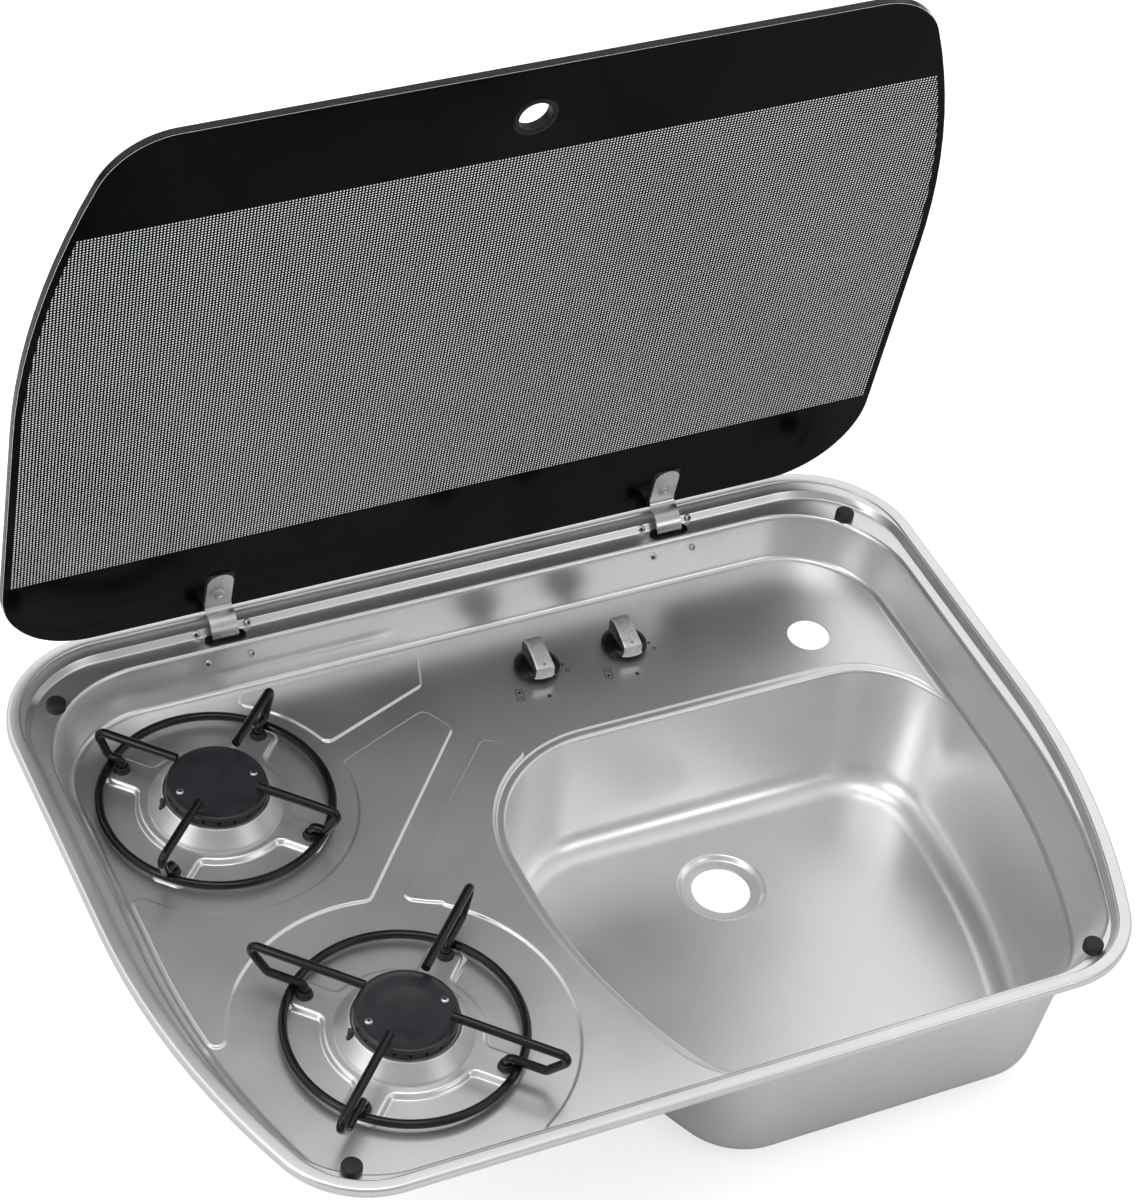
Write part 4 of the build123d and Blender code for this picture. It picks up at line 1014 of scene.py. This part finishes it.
cap_profile = [(0, -13), (28.6, -13), (29.5, -12.6), (29.8, -12.0), (29.8, -10.6)]
cap_profile += [(29.6, -9.9), (29.0, -9.5), (28.3, -9.4), (27.4, -9.5), (26.6, -9.75)]
cap_profile += [(25.4, -9.92), (22.0, -9.95), (18.5, -10.05), (16.0, -10.25), (13.0, -10.55)]
cap_profile += [(9.0, -10.8), (4.0, -10.95), (0, -11.0)]
cap = lathe("cap", cap_profile, 72, cap_enamel)
caps = copies("burner_cap_plates", cap, centres, cap_enamel)
smoothed(caps, 45.0)
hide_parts("burner_caps")
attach(caps, "tray_unit")
dark_cast = finish(
    "dark_cast",
    ((0.03, 0.03, 0.031), (0.05, 0.05, 0.052)),
    (140.0, 1200.0),
    (0.5, 0.12),
    0.008,
)
dressed(dark_cast, "burner_heads", "thermocouples")
dressed(cast_alloy, "burner_bodies")

head = cross_head("cap_screw", 2.4, 1.2, 1.5, zinc_plate)
screw_places = []
for x, y in burners.values():
    for side in (-1, 1):
        screw_places.append(((x + side * 23.0, y, -10.0), (0, 0, 0.5 * side)))
cap_screws = copies("cap_screw_heads", head, screw_places, zinc_plate)
# each cap screw's cross recess is filled with a short black cylinder: painted shade in the recess,
# not a part of the screw
socket_or_recess_shade = lathe("cap_socket", [(0, 0.2), (0.95, 0.2), (0.95, 1.16), (0, 1.16)], 16, black_rubber)
cap_recess_shades = copies("cap_screw_sockets", socket_or_recess_shade, screw_places, black_rubber)
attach(cap_recess_shades, "tray_unit")
smoothed(cap_screws, 35.0)
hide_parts("cap_screws")
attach(cap_screws, "tray_unit")

# ------------------------------------------------------------------ pan supports
# A ring of black enamelled 5.4 mm wire with four bent wire arms welded on it. The arms' ends
# stand in black rubber feet, pushed into holes in the raised stars.

wire_enamel = finish(
    "wire_enamel",
    ((0.005, 0.005, 0.0055), (0.009, 0.009, 0.01)),
    (60.0, 700.0),
    (0.17, 0.06),
    0.003,
    specular_ior_level=0.35,
)


def wire_bender():
    """A tree that bends round wire along runs of straight edges."""
    tree, start = node_tree("bend_wire", ("Wire radius", "Float"), ("Bend radius", "Float"))
    line = linked(tree, "GeometryNodeMeshToCurve", inputs={0: start["Geometry"]}).outputs[0]
    bent = linked(
        tree,
        "GeometryNodeFilletCurve",
        {"mode": "POLY"},
        {"Curve": line, "Radius": start["Bend radius"], "Count": 7, "Limit Radius": True},
    ).outputs[0]
    section = linked(
        tree,
        "GeometryNodeCurvePrimitiveCircle",
        inputs={"Resolution": 18, "Radius": start["Wire radius"]},
    ).outputs[0]
    round_wire = linked(
        tree,
        "GeometryNodeCurveToMesh",
        inputs={"Curve": bent, "Profile Curve": section, "Fill Caps": True},
    ).outputs[0]
    return realized(tree, round_wire, start["Finish"])


bend_wire = wire_bender()
wire = {"Wire radius": 2.7 * mm, "Bend radius": 3.8 * mm, "Finish": wire_enamel}
ring_z, ring_radius, ring_steps = -24.0, 68.3, 96
foot_end, crossing, bar_z, bar_inner = -36, ring_z + 5.3, -1.2, 26
reaches = {"rear": (70.0, 78.0), "front": (84.0, 99.0)}
for name, (x, y) in burners.items():
    shoulder, reach = reaches[name]
    points, edges = [], []
    runs = [(foot_circle, foot_end), (foot_circle, crossing), (shoulder, crossing)]
    runs += [(reach, bar_z), (bar_inner, bar_z)]
    for a, b in diagonals:
        start = len(points)
        points += [(x + r * a, y + r * b, z) for r, z in runs]
        edges += [(start + i, start + i + 1) for i in range(4)]
    start = len(points)
    for step in range(ring_steps):
        angle = 2 * pi * step / ring_steps
        points.append((x + ring_radius * cos(angle), y + ring_radius * sin(angle), ring_z))
        edges.append((start + step, start + (step + 1) % ring_steps))
    mesh = bpy.data.meshes.new(f"{name}_wires")
    mesh.from_pydata([Vector(p) * mm for p in points], edges, [])
    wires = bpy.data.objects.new(f"pan_support_wires_{name}", mesh)
    bpy.context.collection.objects.link(wires)
    smoothed(shaped(wires, bend_wire, wire), 50.0, weighted=False)
    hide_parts(f"pan_support_{name}")
    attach(wires, f"{name}_pan_support")

foot_profile = [(2.95, -30.2), (4.8, -30.2), (4.8, -27.85), (3.95, -27.8), (3.95, -27)]
foot_profile += [(5.1, -27), (5.2, -26.6), (5.0, -26.25), (4.5, -26.0), (4.35, -25.2)]
foot_profile += [(4.35, -24.2), (4.1, -23.6), (3.6, -23.3), (2.95, -23.3)]
foot = lathe("foot", foot_profile, 28, black_rubber)
foot_places = [((fx, fy, 0), upright_turn) for fx, fy in feet]
grommets = copies("pan_support_feet", foot, foot_places, black_rubber)
smoothed(grommets, 45.0)
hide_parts("foot_grommets")
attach(grommets, "tray_unit")

# ------------------------------------------------------------------ knobs
# Each knob is a black domed skirt with a grip bar across it: hollowed sides under a silver
# lacquered top that slopes down to the front and ends in a nose with a pointer dot. The
# hollowed sides and the bar's back end are painted dark grey, as painted shade and dark
# reflection on sides taken to be black.

silver_lacquer = finish(
    "silver_lacquer",
    ((0.6, 0.61, 0.62), (0.74, 0.75, 0.76)),
    (420.0, 2600.0),
    (0.32, 0.1),
    0.003,
    metallic=0.8,
    coat_weight=0.3,
)
# dark grey for the grip's hollowed sides and back end: painted shade and dark reflection, over
# sides taken to be black
painted_side_shade = finish(
    "painted_side_shade",
    ((0.03, 0.032, 0.035), (0.055, 0.058, 0.062)),
    (160.0, 1800.0),
    (0.35, 0.1),
    0.004,
)
grip_reach, skirt_reach = 11.6, 14.3
for side, (x, y) in zip(("left", "right"), knob_spots):
    skirt_profile = [(3.05, -27), (14.2, -27), (14.5, -26.7), (14.5, -25.9), (14.3, -25.3)]
    skirt_profile += [(13.7, -24.7), (12.6, -23.9), (11.2, -23.2), (9.5, -22.6), (3.05, -22.3)]
    skirt = lathe(f"knob_skirt_ring_{side}", skirt_profile, 56, black_plastic)
    skirt.data.transform(Matrix.Translation((x * mm, y * mm, 0)))
    smoothed(skirt, 40.0)
    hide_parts(f"knob_skirt_{side}")
    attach(skirt, f"{side}_knob")

    # (along the bar, its top, half its width)
    stations = [(-13.9, -24.7, 3.4), (-13.7, -23.9, 4.4), (-13.2, -22.4, 5.4), (-12.5, -20.3, 6.0)]
    stations += [(-11.9, -18.5, 6.2), (-11.5, -17.8, 6.2), (-10.6, -17.3, 6.2), (-8.0, -16.4, 6.2)]
    stations += [(-4.0, -15.1, 6.1), (0.0, -13.8, 6.05), (4.0, -12.75, 6.0), (7.4, -12.15, 6.0)]
    stations += [(9.4, -12.02, 5.95), (10.8, -12.3, 5.9), (11.5, -13.2, 5.8)]
    rings = []
    for along, top, wide in stations:
        dip = 1.1 * max(1 - (along / grip_reach) ** 2, 0)
        low = -24.9 if along < -9 else -24.2
        rise = top - low
        base = min(sqrt(skirt_reach**2 - along**2), wide + 0.8)
        half = [
            (base, low),
            (wide - 0.1, low + 0.135 * rise),
            (wide - dip, low + 0.35 * rise),
            (wide - 0.9 * dip, low + 0.6 * rise),
            (wide - 0.25 - 0.3 * dip, low + 0.82 * rise),
            (wide - 0.1, low + 0.9 * rise),
            (wide - 0.35, low + 0.955 * rise),
            (wide - 0.9, top - 0.02),
            (wide - 1.8, top),
            (0.0, top + 0.02),
        ]
        run = half + [(-px, pz) for px, pz in half[-2::-1]]
        rings.append([Vector((px * mm, along * mm, pz * mm)) for px, pz in run])
    bm = bmesh.new()
    loft(bm, rings, closed=True)
    bmesh.ops.recalc_face_normals(bm, faces=bm.faces)
    # the hollowed sides below the top edge, and the back end, take the painted shade finish
    for face in bm.faces:
        spot = face.calc_center_median() / mm
        tops = [top for along, top, wide in stations if along >= spot.y]
        below = (tops[0] if tops else -12.3) - spot.z
        on_side = abs(face.normal.x) > 0.75 and below > 1.1 and spot.y > -grip_reach
        if on_side or spot.y > 11.4:
            face.material_index = 1
    grip = made(f"knob_grip_bar_{side}", bm)
    grip.data.transform(Matrix.Translation((x * mm, y * mm, 0)))
    grip.data.materials.append(silver_lacquer)
    grip.data.materials.append(painted_side_shade)
    smoothed(grip, 50.0)
    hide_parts(f"knob_grip_{side}")
    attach(grip, f"{side}_knob")

    dot = [circle((x, y - 9.3), 0.75, z, 20) for z in (-17.2, -16.72)]
    pointer = block(f"knob_pointer_{side}", dot)
    pointer.data.materials.append(black_plastic)
    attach(pointer, f"{side}_knob")

# ------------------------------------------------------------------ deck marks
# Marks are printed on the deck in dark ink: an off dot in front of each knob, a frame that
# shows which burner it works, and a spark and a flame beside it.

deck_ink = finish(
    "deck_ink",
    ((0.03, 0.03, 0.032), (0.055, 0.055, 0.058)),
    (300.0, 1500.0),
    (0.55, 0.1),
    0.002,
)
ink_z, ink_top = deck_z + 0.01, deck_z + 0.05
patches = []


def patch(corners):
    """A thin flat patch of ink on the deck."""
    points = [(point[0] * mm, point[1] * mm) for point in corners]
    patches.append([[Vector((*point, z * mm)) for point in points] for z in (ink_z, ink_top)])


def round_patch(spot, radius):
    """A round dot of ink."""
    patch([point / mm for point in circle(spot, radius, 0, 16)])


def stroke(points, width, closed=False):
    """A thin printed line of one width through points, in mm."""
    count = len(points)
    outer, inner = [], []
    for i, point in enumerate(points):
        before = points[i - 1] if closed or i else points[i]
        after = points[(i + 1) % count] if closed or i < count - 1 else points[i]
        along = (Vector(after) - Vector(before)).normalized()
        across = Vector((along.y, -along.x)) * width / 2
        outer.append(Vector(point) + across)
        inner.append(Vector(point) - across)
    for i in range(count if closed else count - 1):
        j = (i + 1) % count
        patch([outer[i], outer[j], inner[j], inner[i]])


def polar(radius, angle):
    """A flat point at a distance from zero, at an angle in degrees."""
    return Vector((radius * cos(radians(angle)), radius * sin(radians(angle))))


frame_turn = Matrix.Rotation(radians(-12), 2)
for filled_y, (x, y) in zip((2.1, -2.1), knob_spots):
    knob_spot = Vector((x, y))
    round_patch(knob_spot + Vector((-1.8, -24.2)), 1.45)
    frame_spot = knob_spot + Vector((-19.0, -18.0))
    corners = []
    for a, b, begin in ((1.4, 3.9, 0), (-1.4, 3.9, 90), (-1.4, -3.9, 180), (1.4, -3.9, 270)):
        for angle in (0, 30, 60, 90):
            corners.append(frame_spot + frame_turn @ (Vector((a, b)) + polar(0.9, begin + angle)))
    stroke(corners, 0.5, closed=True)
    round_patch(frame_spot + frame_turn @ Vector((0, filled_y)), 1.15)
    empty = frame_spot + frame_turn @ Vector((0, -filled_y))
    stroke([empty + frame_turn @ polar(0.95, a) for a in range(0, 360, 30)], 0.45, closed=True)
    spark = knob_spot + Vector((17.0, -1.6))
    for angle in (20, 80, 140):
        stroke([spark - polar(1.2, angle), spark + polar(1.2, angle)], 0.45)
    flame = knob_spot + Vector((18.0, -7.4))
    outline = [(0, -1.5), (1.0, -0.9), (1.1, 0.1), (0.5, 0.9), (0.2, 1.9)]
    outline += [(-0.4, 1.0), (-1.0, 0.3), (-1.0, -0.8)]
    stroke([flame + Vector(point) for point in outline], 0.5, closed=True)
deck_marks = block("deck_marks", *patches)
deck_marks.data.materials.append(deck_ink)
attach(deck_marks, "tray_unit")

# ------------------------------------------------------------------ valves and pipes
# Die-cast valves with brass spindles hang under the deck on one manifold bar. Plated steel
# pipes run from them to a brass jet at each burner's mixing tube, and one down to the supply.

brass = finish(
    "brass",
    ((0.62, 0.46, 0.2), (0.72, 0.55, 0.26)),
    (80.0, 1800.0),
    (0.3, 0.1),
    metallic=1.0,
)
plated_pipe = finish(
    "plated_pipe",
    ((0.46, 0.46, 0.47), (0.58, 0.58, 0.59)),
    (60.0, 1500.0),
    (0.35, 0.1),
    metallic=1.0,
)
dressed(cast_alloy, "gas_valve_left", "gas_valve_right", "manifold")
dressed(zinc_plate, "spring_cup_left", "spring_cup_right")
dressed(plated_pipe, "gas_pipe_rear", "gas_pipe_front", "gas_inlet_pipe")
dressed(brass, "spindle_left", "spindle_right", "gas_jets")
